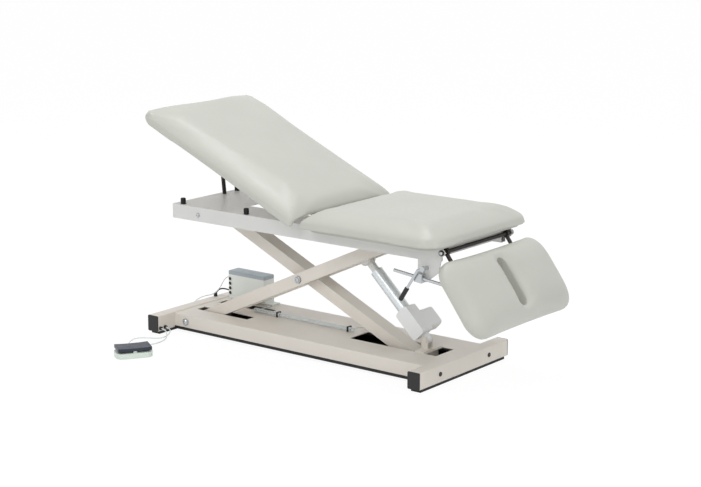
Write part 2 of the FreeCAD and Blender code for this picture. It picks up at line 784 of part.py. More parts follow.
save("upper_tracks", both_sides(upper_track))
upper_shaft_half = inner_leg_half + side_gap + pivot_plate_sheet
save("upper_pivot", both_sides(pivot_plate), cross_rod(pivot_radius, pivot_x, high_pivot_z, -upper_shaft_half,
                                                       upper_shaft_half))
save("frame_bolts", both_sides(lambda side: cross_rod(
    frame_bolt_radius, frame_bolt_x, frame_bolt_z, *span_y(side, rail_outer_y, rail_outer_y + frame_bolt_height))))


# Seat and backrest

def board(x0, x1, half, z0):
    shape = block(x0 + board_inset, x1 - board_inset, board_inset - half, half - board_inset, z0,
                  z0 + board_thickness)
    return rounded(shape, board_corner, V(0, 0, 1))


def board_pocket(x0, x1, half, z0, z1):
    inset = board_inset - board_gap
    shape = block(x0 + inset, x1 - inset, inset - half, half - inset, z0 - overrun, z1)
    return rounded(shape, board_corner + board_gap, V(0, 0, 1))


seat_board_z = rail_top
seat_pad = pad(seat_start, seat_end, pad_half_width, pad_bottom, pad_thickness, pad_corner, pad_end_corner,
               pad_edge_roll)
save("seat_board", board(seat_start, seat_end, pad_half_width, seat_board_z))
save("seat_pad", seat_pad.cut(board_pocket(seat_start, seat_end, pad_half_width, pad_bottom,
                                           seat_board_z + board_thickness + board_gap)))

back_board_z = deck_top + bumper_height + slip_gap


def raised(shape):
    return turned(shape, back_hinge_x, back_hinge_z, -back_angle)


def back_strap(side):
    low, high = span_y(side, strap_inner_y, strap_outer_y)
    arm = block(back_hinge_x - strap_length, back_hinge_x, low, high, back_board_z - strap_sheet, back_board_z)
    knee = block(back_hinge_x - hinge_eye_radius, back_hinge_x, low, high, back_hinge_z, back_board_z)
    eye = cross_rod(hinge_eye_radius, back_hinge_x, back_hinge_z, low, high)
    return joined([arm, knee, eye]).cut(cross_rod(hinge_pin_radius + running_gap, back_hinge_x, back_hinge_z,
                                                  low - overrun, high + overrun))


def hinge_plate(side):
    low, high = span_y(side, hinge_plate_y - hinge_plate_sheet, hinge_plate_y)
    shape = block(hinge_plate_start, cross_back_x, low, high, hinge_plate_bottom, back_hinge_z)
    shape = joined([shape, cross_rod(hinge_eye_radius, back_hinge_x, back_hinge_z, low, high)])
    return shape.cut(cross_rod(hinge_pin_radius + running_gap, back_hinge_x, back_hinge_z, low - overrun,
                               high + overrun))


back_pad = pad(back_start, back_end, pad_half_width, back_bottom, back_thickness, pad_end_corner, pad_corner,
               pad_edge_roll)
back_pad = back_pad.cut(board_pocket(back_start, back_end, pad_half_width, back_bottom,
                                     back_board_z + board_thickness + board_gap))
strap_notch = pad_half_width - board_inset
save("backrest_board", raised(board(back_start, back_end, pad_half_width, back_board_z)))
save("backrest_pad", raised(back_pad.cut(block(back_hinge_x - strap_length, back_end + overrun, -strap_notch, strap_notch,
                                               back_bottom - overrun, back_board_z))))
save("backrest_hinge_straps", [raised(back_strap(side)) for side in (-1.0, 1.0)])
save("backrest_hinge_pin", both_sides(hinge_plate),
     cross_rod(hinge_pin_radius, back_hinge_x, back_hinge_z, -hinge_plate_y, hinge_plate_y))


# Stay post: slides through the guide, its round head bears in a channel under the backrest

def stay_channel():
    x0 = back_start + stay_channel_inset
    x1 = x0 + stay_channel_length
    top = block(x0, x1, stay_y - stay_channel_half, stay_y + stay_channel_half, back_board_z - stay_channel_sheet,
                back_board_z)
    walls = [block(x0, x1, stay_y + side * stay_channel_half - stay_channel_sheet / 2,
                   stay_y + side * stay_channel_half + stay_channel_sheet / 2,
                   back_board_z - stay_channel_depth, back_board_z) for side in (-1.0, 1.0)]
    return joined([top] + walls)


def stay_head():
    # Where the post's axis meets a line parallel to the raised board, under the channel's roof.
    drop = stay_channel_sheet + stay_head_gap + stay_radius
    rise = back_board_z - back_hinge_z - drop
    tilt = math.radians(back_angle)
    origin = V(back_hinge_x + rise * math.sin(tilt), stay_y, back_hinge_z + rise * math.cos(tilt))
    foot = on_stay(deck_top)
    normal = V(math.sin(tilt), 0, math.cos(tilt))
    return foot + stay_axis * ((origin - foot).dot(normal) / stay_axis.dot(normal))


stay_top = stay_head()
print("stay head", [round(c, 2) for c in stay_top])
save("stay_post", joined([rod(stay_radius, on_stay(stay_bottom), stay_top), Part.makeSphere(stay_radius, stay_top)]))
save("stay_channel", raised(stay_channel()))


# Drop section, hinge gussets, locking rod and lever

def dropped(shape):
    return turned(shape, drop_hinge_x, drop_hinge_z, -drop_angle)


near_gusset = [(clamp_x - gusset_radius, rail_top), (drop_hinge_x, drop_hinge_z + gusset_radius),
               (drop_hinge_x + gusset_radius, drop_hinge_z), (drop_hinge_x, drop_hinge_z - gusset_radius),
               (drop_hinge_x - gusset_toe_back, clamp_z + gusset_toe_rise),
               (clamp_x + gusset_tab, clamp_z - gusset_radius),
               (clamp_x - gusset_radius, clamp_z - gusset_radius), (clamp_x - gusset_radius, lever_screw_z)]
far_gusset = [(clamp_x, rail_top), (drop_hinge_x, drop_hinge_z + gusset_radius),
              (drop_hinge_x + gusset_radius, drop_hinge_z), (drop_hinge_x, drop_hinge_z - gusset_radius),
              (clamp_x, rail_bottom)]
gusset_outer = rail_outer_y + gusset_sheet
near_plate = plate(near_gusset, -gusset_outer, -rail_outer_y)
far_plate = plate(far_gusset, rail_outer_y, gusset_outer)
hinge_hole = cross_rod(drop_rod_radius + running_gap, drop_hinge_x, drop_hinge_z, -gusset_outer - overrun,
                       gusset_outer + overrun)
near_plate = near_plate.cut(hinge_hole)
near_plate = near_plate.cut(cross_rod(clamp_pivot_radius + running_gap, clamp_x, clamp_z, -gusset_outer - overrun,
                                      overrun - rail_outer_y))
near_plate = near_plate.cut(cross_rod(clamp_pivot_radius + running_gap, lever_screw_x, lever_screw_z,
                                      -gusset_outer - overrun, overrun - rail_outer_y))
save("hinge_gussets", near_plate, far_plate.cut(hinge_hole))
hinge_nuts = [cross_rod(drop_rod_radius + washer_sheet, drop_hinge_x, drop_hinge_z,
                        *span_y(side, gusset_outer, gusset_outer + shaft_head_height)) for side in (-1.0, 1.0)]
save("drop_hinge_rod", joined([cross_rod(drop_rod_radius, drop_hinge_x, drop_hinge_z, -gusset_outer, gusset_outer)]
                              + hinge_nuts))

drop_start = drop_hinge_x + drop_gap
drop_end = drop_start + drop_length
drop_bottom = drop_hinge_z
drop_pad = pad(drop_start, drop_end, pad_half_width, drop_bottom, drop_thickness, pad_corner, pad_corner,
               pad_edge_roll)
drop_board_top = drop_bottom + board_thickness
drop_pad = drop_pad.cut(board_pocket(drop_start, drop_end, pad_half_width, drop_bottom, drop_board_top + board_gap))


def nose_slot(grow, z0, z1):
    half = nose_slot_width / 2 + grow
    x0 = drop_start + nose_slot_start + nose_slot_width / 2
    x1 = drop_start + nose_slot_end - nose_slot_width / 2
    return joined([block(x0, x1, -half, half, z0, z1), rod(half, V(x0, 0, z0), V(x0, 0, z1)),
                   rod(half, V(x1, 0, z0), V(x1, 0, z1))])


drop_pad = drop_pad.cut(nose_slot(0, drop_bottom - overrun, drop_bottom + drop_thickness + overrun))
drop_board = board(drop_start, drop_end, pad_half_width, drop_bottom)
drop_board = drop_board.cut(nose_slot(board_gap, drop_bottom - overrun, drop_board_top + overrun))
save("drop_pad", dropped(drop_pad))
save("drop_board", dropped(drop_board))
drop_strap_end = drop_end - board_inset - pad_corner


def drop_strap(side):
    low, high = span_y(side, drop_strap_inner, drop_strap_outer)
    arm = block(drop_hinge_x, drop_strap_end, low, high, drop_bottom - drop_strap_sheet, drop_bottom)
    eye = cross_rod(hinge_eye_radius, drop_hinge_x, drop_hinge_z, low, high)
    return joined([arm, eye]).cut(cross_rod(drop_rod_radius + running_gap, drop_hinge_x, drop_hinge_z,
                                                  low - overrun, high + overrun))


save("drop_hinge_straps", [dropped(drop_strap(side)) for side in (-1.0, 1.0)])

# Locking rod: slides in a swivelling clamp on the near gusset, its eye sits in a slotted lug
link_run = V(link_eye_x - clamp_x, 0, link_eye_z - clamp_z)
link_axis = V(link_run).normalize()
link_y = -gusset_outer - link_gap - clamp_block_width / 2
link_eye = V(link_eye_x, link_y, link_eye_z)
clamp_at = V(clamp_x, link_y, clamp_z)
link_tail = link_eye - link_axis * ((link_eye_x - link_tail_x) / link_axis.x)
print("locking rod", round((link_eye - link_tail).Length, 1), "eye to clamp", round(link_run.Length, 2))
link_tilt = math.degrees(math.atan2(link_axis.z, link_axis.x))
clamp_block = block(clamp_x - clamp_block_half, clamp_x + clamp_block_half, link_y - clamp_block_width / 2,
                    link_y + clamp_block_width / 2, clamp_z - clamp_block_half, clamp_z + clamp_block_half)
clamp_block = turned(clamp_block, clamp_x, clamp_z, link_tilt)
clamp_stud = cross_rod(clamp_pivot_radius, clamp_x, clamp_z, link_y + clamp_block_width / 2, -rail_outer_y)
clamp_block = joined([clamp_block, clamp_stud])
clamp_block = clamp_block.cut(rod(link_radius + running_gap, clamp_at - link_axis * (clamp_block_half + overrun),
                                  clamp_at + link_axis * (clamp_block_half + overrun)))
save("rod_clamp", clamp_block)
link_eye_half = link_radius + link_gap
eye_disc = cross_rod(link_eye_radius, link_eye_x, link_eye_z, link_y - link_eye_half, link_y + link_eye_half)
eye_stud = cross_rod(link_pin_radius, link_eye_x, link_eye_z, link_y + link_eye_half, -drop_strap_outer)
save("locking_rod", joined([rod(link_radius, link_tail, link_eye), eye_disc, eye_stud]))

# Slotted lug on the near strap, around the rod's stud
lug_reach = V(link_eye_x - drop_hinge_x, 0, link_eye_z - drop_hinge_z).Length
lug_angle = math.degrees(math.atan2(link_eye_z - drop_hinge_z, link_eye_x - drop_hinge_x)) + drop_angle
lug_radius = link_pin_radius + link_slot_half + link_lug_sheet
lug_x = drop_hinge_x + lug_reach * math.cos(math.radians(lug_angle))
lug_z = drop_hinge_z + lug_reach * math.sin(math.radians(lug_angle))
lug_low = -drop_strap_outer - link_lug_sheet
lug = joined([cross_rod(lug_radius, lug_x, lug_z, lug_low, -drop_strap_outer),
              block(lug_x - lug_radius, lug_x + lug_radius, lug_low, -drop_strap_outer, lug_z, drop_bottom)])
lug = lug.cut(block(lug_x - 2 * lug_radius, lug_x + 2 * lug_radius, lug_low - overrun, overrun - drop_strap_outer,
                    drop_bottom, drop_bottom + 2 * lug_radius))
lug = lug.cut(cross_rod(link_pin_radius + link_slot_half, lug_x, lug_z, lug_low - overrun, overrun - drop_strap_outer))
save("locking_rod_lug", dropped(lug))

# Clamp lever: a bent bar on a screw in the gusset, with a grip
lever_y = link_y - clamp_block_width / 2 - link_gap - lever_radius
lever_screw = V(lever_screw_x, lever_y, lever_screw_z)
lever_bend = V(lever_bend_x, lever_y, lever_bend_z)
lever_end = V(lever_end_x, lever_y, lever_end_z)
lever_run = (lever_end - lever_bend).normalize()
grip_start = lever_end - lever_run * grip_length
hub = cross_rod(lever_hub_radius, lever_screw_x, lever_screw_z, lever_y - lever_radius, lever_y + lever_radius)
spindle = cross_rod(clamp_pivot_radius, lever_screw_x, lever_screw_z, lever_y + lever_radius, -rail_outer_y)
save("clamp_lever", joined([hub, spindle, rod(lever_radius, lever_screw, lever_bend),
                            Part.makeSphere(lever_radius, lever_bend), rod(lever_radius, lever_bend, grip_start)]))
grip = rod(grip_radius, grip_start, lever_end)
save("lever_grip", grip.makeFillet(grip_radius / 2, [e for e in grip.Edges if e.Closed]))

# Control box on the pan
box_shell = block(box_start, box_end, box_near_y, box_far_y, box_bottom, box_top - box_lid_height)
box_lid = block(box_start, box_end, box_near_y, box_far_y, box_top - box_lid_height, box_top)
box_lid = rounded(box_lid, box_edge_radius, V(0, 0, 1))
box_lid = box_lid.makeFillet(box_edge_radius / 2, [e for e in box_lid.Edges if e.BoundBox.ZMin > box_top - slip_gap])
save("control_box_body", rounded(box_shell, box_edge_radius, V(0, 0, 1)),
     block(box_start + box_edge_radius, plinth_end, box_near_y + box_edge_radius, box_far_y - box_edge_radius,
           pan_top, box_bottom))
save("control_box_lid", box_lid)


def control_socket(index):
    z0 = box_bottom + socket_gap + index * (socket_height + socket_gap)
    return block(box_start - socket_depth, box_start, socket_y - socket_width / 2, socket_y + socket_width / 2, z0,
                 z0 + socket_height)


socket_y = (box_near_y + box_far_y) / 2
inlet_mid_z = (tube_bottom + tube_top) / 2
inlet = block(-tube_width / 2 - socket_depth, -tube_width / 2, inlet_y - socket_width / 2, inlet_y + socket_width / 2,
              inlet_mid_z - socket_height / 2, inlet_mid_z + socket_height / 2)
save("power_sockets", [control_socket(index) for index in range(3)], inlet)


# Foot switch

def switch_place(shape):
    copy = shape.copy()
    copy.rotate(V(0, 0, 0), V(0, 0, 1), switch_turn)
    copy.translate(V(switch_x, switch_y, 0))
    return copy


base_plate = block(-switch_length / 2, switch_length / 2, -switch_width / 2, switch_width / 2, 0, switch_base_height)
base_plate = rounded(base_plate, switch_corner, V(0, 0, 1))
rocker_pin_z = switch_base_height + rocker_gap + rocker_pin_radius
rocker_flare = (rocker_width - rocker_waist) / 2 * rocker_ear_length / rocker_length
ear_y = rocker_waist / 2 + rocker_flare + side_gap
ears = [block(-rocker_ear_length / 2, rocker_ear_length / 2, *span_y(side, ear_y, ear_y + rocker_gap),
              switch_base_height, rocker_pin_z + rocker_pin_radius + washer_sheet) for side in (-1.0, 1.0)]
base_plate = joined([base_plate] + ears)
pin_end = ear_y + rocker_gap
pin_hole = rod(rocker_pin_radius + running_gap, V(0, -pin_end - overrun, rocker_pin_z),
               V(0, pin_end + overrun, rocker_pin_z))
save("foot_switch_base", switch_place(base_plate.cut(pin_hole)),
     switch_place(rod(rocker_pin_radius, V(0, -pin_end, rocker_pin_z), V(0, pin_end, rocker_pin_z))))
rocker_low = switch_base_height + rocker_gap
bow_tie = [V(-rocker_length / 2, -rocker_width / 2, rocker_low), V(0, -rocker_waist / 2, rocker_low),
           V(rocker_length / 2, -rocker_width / 2, rocker_low), V(rocker_length / 2, rocker_width / 2, rocker_low),
           V(0, rocker_waist / 2, rocker_low), V(-rocker_length / 2, rocker_width / 2, rocker_low)]
rocker = Part.Face(Part.makePolygon(bow_tie + [bow_tie[0]])).extrude(V(0, 0, rocker_height))
rocker = rocker.makeFillet(rocker_height / 3, [e for e in rocker.Edges if e.BoundBox.ZMin > rocker_low + slip_gap])
save("foot_rocker", switch_place(rocker.cut(pin_hole)))

# Grommets, leads and hoses. Each route is a hand-chosen list of points.
hose_up_route = [
    (36, -262, 26), (56, -263, 24), (73, -275, 17), (82, -298, 8), (82, -326, 2.6), (70, -350, 2.4), (47, -365, 2.4),
    (22, -375, 2.4), (2, -392, 2.4), (-3, -418, 2.4), (8, -446, 2.4), (24, -472, 3.4), (44, -494, 8), (64, -511, 10.4),
    (88, -527, 10.4), (104, -536, 9), (118.5, -544, 8), (134.8, -554.4, 8)]
hose_down_route = [
    (36, -290, 26), (56, -291, 24), (76, -300, 17), (94, -319, 8), (108, -345, 2.6), (117, -374, 2.4),
    (120, -404, 2.4), (115, -434, 2.4), (104, -463, 2.4), (91, -490, 2.4), (77, -516, 2.4), (67, -540, 2.6),
    (74, -558, 5), (92, -562, 7), (104, -567, 8), (119.5, -577.9, 8)]
control_route = [
    (38, 154.5, 167), (22, 154.5, 167), (8, 147, 158), (0, 137, 138), (-4, 125, 118), (-8, 106, 102), (-14, 82, 92),
    (-24, 58, 92), (-39, 36, 86), (-51, 12, 71), (-57, -12, 55), (-54, -34, 45), (-38, -48, 41)]
mains_route = [
    (38, 154.5, 105), (21, 154.5, 105), (4, 148, 109), (-9, 134, 110), (-15, 118, 103), (-16, 108, 88)]
lead_out_route = [(0, 12, 0), (2, 34, -3), (12, 62, -9), (30, 90, -13.4), (54, 112, -15), (80, 128, -15.4)]


save("foot_hose_up", cord("foot_hose_up", hose_up_route, hose_radius))
save("foot_hose_down", cord("foot_hose_down", hose_down_route, hose_radius))
save("control_cord", cord("control_cord", control_route, hose_radius))
save("mains_lead", cord("mains_lead", mains_route, lead_radius))


def biarc(p0, t0, p1, t1):
    # Two tangent arcs between two points with given directions.
    run = p1 - p0
    both = t0 + t1
    spread = 2 * (1 - t0.dot(t1))
    reach = (math.sqrt(run.dot(both) ** 2 + spread * run.dot(run)) - run.dot(both)) / spread
    first = p0 + t0 * reach
    second = p1 - t1 * reach
    middle = (first + second) * 0.5
    across = (second - first).normalize()
    arcs = []
    for a, corner, b, cosine in ((p0, first, middle, t0.dot(across)), (middle, second, p1, t1.dot(across))):
        weight = math.sqrt((1 + cosine) / 2)
        through = (a + b + corner * (2 * weight)) * (1 / (2 + 2 * weight))
        arcs.append(Part.Arc(a, through, b).toShape())
    return arcs


# Curly lead: from the box's foot across the pan, through its curls and on to the far side
curl_radius = curl_outer_radius - curl_wire_radius
curl_z = pan_top + curl_outer_radius + curl_lift


def curl_point(turns):
    angle = 2 * math.pi * turns
    return V(curl_start_x + curl_pitch * turns, curl_y - curl_radius * math.sin(angle),
             curl_z - curl_radius * math.cos(angle))


def curl_heading(turns):
    angle = 2 * math.pi * turns
    return V(curl_pitch / (2 * math.pi), -curl_radius * math.cos(angle), curl_radius * math.sin(angle)).normalize()


curl_steps = int(curl_count * curl_corners)
marks = [step / curl_corners for step in range(curl_steps + 1)]
lead_edges = []
lead_in_end = curl_point(0) - curl_heading(0) * curl_lead_in
lead_start = V(lead_in_end.x, box_near_y + box_edge_radius, lead_in_end.z)
lead_edges.append(Part.LineSegment(lead_start, lead_in_end - V(0, -1, 0) * curl_outer_radius).toShape())
lead_edges += biarc(lead_in_end + V(0, curl_outer_radius, 0), V(0, -1, 0), curl_point(0), curl_heading(0))
for a, b in zip(marks, marks[1:]):
    lead_edges += biarc(curl_point(a), curl_heading(a), curl_point(b), curl_heading(b))
curl_spread = curl_samples // curl_corners
curl_gap = min((curl_point(0) - curl_point(1 + j / curl_samples)).Length
               for j in range(-curl_spread, curl_spread + 1)) - 2 * curl_wire_radius
print("curl gap", round(curl_gap, 2), "curls", curl_count)
lead_top = curl_point(curl_count)
lead_knots = [lead_top + V(*p) for p in lead_out_route]
lead_edges += biarc(lead_top, curl_heading(curl_count), lead_knots[0], (lead_knots[1] - lead_knots[0]).normalize())
last = lead_knots[0]
for before, corner, after in zip(lead_knots, lead_knots[1:], lead_knots[2:]):
    back = (before - corner)
    ahead = (after - corner)
    reach = corner_reach_share * min(back.Length, ahead.Length)
    enter = corner + back.normalize() * reach
    leave = corner + ahead.normalize() * reach
    lead_edges.append(Part.LineSegment(last, enter).toShape())
    lead_edges += biarc(enter, V(back) * -1, leave, V(ahead))
    last = leave
lead_edges.append(Part.LineSegment(last, lead_knots[-1]).toShape())
lead_wire = Part.Wire(lead_edges)
lead = pipe(lead_wire, curl_wire_radius)
print("curly lead length", round(lead_wire.Length), "volume ratio",
      round(lead.Volume / (math.pi * curl_wire_radius ** 2 * lead_wire.Length), 3), lead.isValid())
save("curly_lead", lead)


def bored(shape, end, inner, radius):
    # A hole for the last run of a lead, which stops at its end.
    run = (inner - end).normalize()
    return shape.cut(rod(radius + running_gap, end, end + run * grommet_length * 2))


def grommet(face, route, radius):
    # A collar on a face, around the end of a lead.
    end = V(*route[-1])
    along = (end - face).normalize()
    return bored(rod(grommet_radius, face, end + along * grommet_collar), end, V(*route[-2]), radius)


lead_stop = lead_knots[-1]
stop_block = block(lead_stop.x - grommet_collar, lead_stop.x + grommet_length * 2, lead_stop.y - grommet_radius,
                   lead_stop.y + grommet_radius, pan_top, lead_stop.z + grommet_radius / 2)
stop_block = bored(stop_block, lead_stop, lead_knots[-2], curl_wire_radius)


def lead_clip(x):
    inner = curl_outer_radius + curl_lift
    outer = block(x, x + clip_width, curl_y - inner - clip_sheet, curl_y + inner + clip_sheet, pan_top,
                  curl_z + inner + clip_sheet)
    return outer.cut(block(x - overrun, x + clip_width + overrun, curl_y - inner, curl_y + inner, pan_top - overrun,
                           curl_z + inner))


head_face = tube_width / 2
hose_grommets = [rod(grommet_radius, V(head_face, route[0][1], route[0][2]), V(*route[0]))
                 for route in (hose_up_route, hose_down_route)]
control_end = V(*control_route[-1])
mains_end = V(*mains_route[-1])
save("lead_grommets", hose_grommets, grommet(V(-head_face, control_end.y, control_end.z), control_route, hose_radius),
     grommet(V(mains_end.x, mains_end.y, tube_top), mains_route, lead_radius), stop_block,
     lead_clip(clip_first_x), lead_clip(clip_second_x))
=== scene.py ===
# %% [markdown]
# A clinic's treatment table stands on a scissor lift and is padded in pale stone vinyl. The CAD model
# gives every hard piece its place. This lesson keeps those pieces, gives each one a finish, and makes
# the soft and the small things that a solid modeller leaves plain: pads, leads, screws and staples.

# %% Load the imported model
import json
import math

import bmesh
import bpy
from mathutils import Matrix, Vector


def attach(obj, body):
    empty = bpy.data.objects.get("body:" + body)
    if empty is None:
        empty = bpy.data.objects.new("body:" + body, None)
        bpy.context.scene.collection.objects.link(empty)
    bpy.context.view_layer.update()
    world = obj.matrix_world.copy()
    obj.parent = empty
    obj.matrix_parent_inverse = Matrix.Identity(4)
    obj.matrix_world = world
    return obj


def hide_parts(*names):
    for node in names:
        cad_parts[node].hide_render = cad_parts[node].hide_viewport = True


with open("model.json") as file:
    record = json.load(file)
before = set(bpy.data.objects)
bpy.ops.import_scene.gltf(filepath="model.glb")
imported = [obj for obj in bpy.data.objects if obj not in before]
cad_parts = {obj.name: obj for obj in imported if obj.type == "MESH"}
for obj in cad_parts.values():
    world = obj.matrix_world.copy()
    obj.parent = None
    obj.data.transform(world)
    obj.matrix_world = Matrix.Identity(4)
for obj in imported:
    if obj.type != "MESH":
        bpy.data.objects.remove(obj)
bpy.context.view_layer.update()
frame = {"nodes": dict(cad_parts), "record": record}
nodes = frame["nodes"]

# %% [markdown]
# The viewpoint was solved from the straight edges of the table, so it is written as plain numbers. A long
# lens from about seven metres keeps the rails almost parallel, as studio furniture pictures do.

# %% Camera
CAMERA_PLACE = (5.041, -5.439, 1.979)
CAMERA_DOWN = 12.435
CAMERA_TURN = 37.857

camera_data = bpy.data.cameras.new("studio_camera")
camera_data.lens = 89.82
camera_data.sensor_width = 36.0
camera_data.sensor_fit = "HORIZONTAL"
camera_data.shift_x = 0.0021
camera_data.shift_y = -0.0037
camera = bpy.data.objects.new("studio_camera", camera_data)
camera.location = CAMERA_PLACE
camera.rotation_euler = (math.radians(90 - CAMERA_DOWN), 0, math.radians(CAMERA_TURN))
bpy.context.collection.objects.link(camera)
bpy.context.scene.camera = camera
bpy.context.scene.view_settings.view_transform = "Standard"
print("camera lens", camera_data.lens)

# %% [markdown]
# Leads come first, since their routes repeat those of the solids they stand for. A lead is a fixed length of
# something bendy, so one smooth NURBS line with the route's own points as its control points is the honest
# shape. Order 3 is set after the points exist, or Blender quietly keeps straight runs. The wire's radius sits
# on the points and the bevel is 1, because a curve's box is widened by the radius of its points.


# %% Helper for a lead
def millimetres(points):
    return [Vector(p) / 1000 for p in points]


def lead_curve(name, points, radius, sides=4):
    curve = bpy.data.curves.new(name, "CURVE")
    curve.dimensions = "3D"
    curve.bevel_depth = 1.0
    curve.bevel_resolution = sides
    curve.use_fill_caps = True
    curve.resolution_u = 6
    spline = curve.splines.new("NURBS")
    spline.points.add(len(points) - 1)
    for knot, place in zip(spline.points, millimetres(points)):
        knot.co = (*place, 1.0)
        knot.radius = radius / 1000
    spline.order_u = 3
    spline.use_endpoint_u = True
    piece = bpy.data.objects.new(name, curve)
    bpy.context.collection.objects.link(piece)
    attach(piece, "base")
    return piece


# %% [markdown]
# Two thin air hoses join the foot switch to the base. They leave the head tube, drop to the floor within a
# hand's breadth, wander a little and rise again into the switch.

# %% Foot hoses
hose_up_route = [
    (36, -262, 26), (56, -263, 24), (73, -275, 17), (82, -298, 8), (82, -326, 2.6), (70, -350, 2.4),
    (47, -365, 2.4), (22, -375, 2.4), (2, -392, 2.4), (-3, -418, 2.4), (8, -446, 2.4), (24, -472, 3.4),
    (44, -494, 8), (64, -511, 10.4), (88, -527, 10.4), (104, -536, 9), (118.5, -544, 8), (134.8, -554.4, 8)]
hose_down_route = [
    (36, -290, 26), (56, -291, 24), (76, -300, 17), (94, -319, 8), (108, -345, 2.6), (117, -374, 2.4),
    (120, -404, 2.4), (115, -434, 2.4), (104, -463, 2.4), (91, -490, 2.4), (77, -516, 2.4), (67, -540, 2.6),
    (74, -558, 5), (92, -562, 7), (104, -567, 8), (119.5, -577.9, 8)]
THIN_LEAD_RADIUS = 2.2
hose_up = lead_curve("hose_up", hose_up_route, THIN_LEAD_RADIUS)
hose_down = lead_curve("hose_down", hose_down_route, THIN_LEAD_RADIUS)
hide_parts("foot_hose_up")
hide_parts("foot_hose_down")
print("hose points", len(hose_up_route), len(hose_down_route))

# %% [markdown]
# A white control lead hangs from the top socket over the head tube, and a stout black mains lead makes one
# short bend into the tube below it.

# %% Control lead and mains lead
control_route = [
    (38, 154.5, 167), (22, 154.5, 167), (8, 147, 158), (0, 137, 138), (-4, 125, 118), (-8, 106, 102),
    (-14, 82, 92), (-24, 58, 92), (-39, 36, 86), (-51, 12, 71), (-57, -12, 55), (-54, -34, 45),
    (-38, -48, 41)]
mains_route = [
    (38, 154.5, 105), (21, 154.5, 105), (4, 148, 109), (-9, 134, 110), (-15, 118, 103), (-16, 108, 88)]
MAINS_RADIUS = 3.2
control_lead = lead_curve("control_lead", control_route, THIN_LEAD_RADIUS)
mains_bend = lead_curve("mains_bend", mains_route, MAINS_RADIUS)
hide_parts("control_cord")
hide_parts("mains_lead")
print("control and mains lead points", len(control_route), len(mains_route))

# %% [markdown]
# The curly lead on the pan stretches as the lift rises. Its helix is part of its own spline. A quadratic
# spline runs a little inside its points, so with 16 points to a turn they sit about two percent further out.

# %% Curly lead
CURLS = 58.5
CURL_POINTS = 16
CURL_PITCH = 9.2
CURL_RADIUS = 7.5 / math.cos(math.pi / CURL_POINTS)
CURL_START = Vector((290, 18, 86))
CURL_WIRE_RADIUS = 1.9


def curl_point(turns):
    angle = 2 * math.pi * turns
    step = Vector((CURL_PITCH * turns, -CURL_RADIUS * math.sin(angle), -CURL_RADIUS * math.cos(angle)))
    return tuple(CURL_START + step)


curly_route = [(288.5, 128, 78.5), (288.5, 92, 78.5), (288.5, 55, 78.5), (288.4, 37, 78.5), (288.5, 27, 78.5)]
curly_route += [curl_point(step / CURL_POINTS) for step in range(int(CURLS * CURL_POINTS) + 1)]
curl_end = Vector(curl_point(CURLS))
for step in ((0, 12, 0), (2, 34, -3), (12, 62, -9), (30, 90, -13.4), (54, 112, -15), (80, 128, -15.4)):
    curly_route.append(tuple(curl_end + Vector(step)))
curly_lead = lead_curve("curly_wire", curly_route, CURL_WIRE_RADIUS, sides=2)
curly_lead.data.resolution_u = 2
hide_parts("curly_lead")
print("curly lead points", len(curly_route))

# %% [markdown]
# Every finish starts from one helper. It mixes two close tones of a colour by noise, lets the roughness
# wander and adds a fine bump. Patterns read Object coordinates, which here are metres of the real table,
# so a scale of 900 means a grain of about one millimetre.


# %% Finish helpers
def linear(red, green, blue):
    def channel(value):
        value /= 255
        return value / 12.92 if value <= 0.04045 else ((value + 0.055) / 1.055) ** 2.4

    return (channel(red), channel(green), channel(blue))


def toned(colour, factor):
    return (*[min(1.0, c * factor) for c in colour], 1.0)


def new_finish(name, **sockets):
    finish = bpy.data.materials.new(name)
    finish.use_nodes = True
    shader = finish.node_tree.nodes["Principled BSDF"]
    for socket, value in sockets.items():
        shader.inputs[socket.replace("_", " ")].default_value = value
    return finish, finish.node_tree, shader


def object_place(tree, stretch=(1, 1, 1)):
    place = tree.nodes.new("ShaderNodeTexCoord")
    mapping = tree.nodes.new("ShaderNodeMapping")
    mapping.inputs["Scale"].default_value = stretch
    tree.links.new(place.outputs["Object"], mapping.inputs["Vector"])
    return mapping.outputs["Vector"]


def noise(tree, vector, scale, detail=3.0):
    node = tree.nodes.new("ShaderNodeTexNoise")
    node.inputs["Scale"].default_value = scale
    node.inputs["Detail"].default_value = detail
    tree.links.new(vector, node.inputs["Vector"])
    return node.outputs["Fac"]


def two_tones(tree, factor, dark, light, low=0.3, high=0.7):
    ramp = tree.nodes.new("ShaderNodeValToRGB")
    ramp.color_ramp.elements[0].position = low
    ramp.color_ramp.elements[0].color = dark
    ramp.color_ramp.elements[1].position = high
    ramp.color_ramp.elements[1].color = light
    tree.links.new(factor, ramp.inputs["Fac"])
    return ramp.outputs["Color"]


def spread(tree, factor, low, high):
    node = tree.nodes.new("ShaderNodeMapRange")
    node.inputs["From Min"].default_value = 0.3
    node.inputs["From Max"].default_value = 0.7
    node.inputs["To Min"].default_value = low
    node.inputs["To Max"].default_value = high
    tree.links.new(factor, node.inputs["Value"])
    return node.outputs["Result"]


def bumped(tree, shader, height, depth, strength=1.0):
    bump = tree.nodes.new("ShaderNodeBump")
    bump.inputs["Strength"].default_value = strength
    bump.inputs["Distance"].default_value = depth
    tree.links.new(height, bump.inputs["Height"])
    tree.links.new(bump.outputs["Normal"], shader.inputs["Normal"])


def plain_finish(name, colour, rough, grain, depth, mottle=0.03, stretch=(1, 1, 1), **sockets):
    finish, tree, shader = new_finish(name, **sockets)
    vector = object_place(tree, stretch)
    broad = noise(tree, vector, 9.0)
    wandering = noise(tree, vector, 40.0)
    fine = noise(tree, vector, grain, 2.0)
    tones = two_tones(tree, broad, toned(colour, 1 - mottle), toned(colour, 1 + mottle))
    tree.links.new(tones, shader.inputs["Base Color"])
    tree.links.new(spread(tree, wandering, rough - 0.05, rough + 0.05), shader.inputs["Roughness"])
    bumped(tree, shader, fine, depth)
    return finish


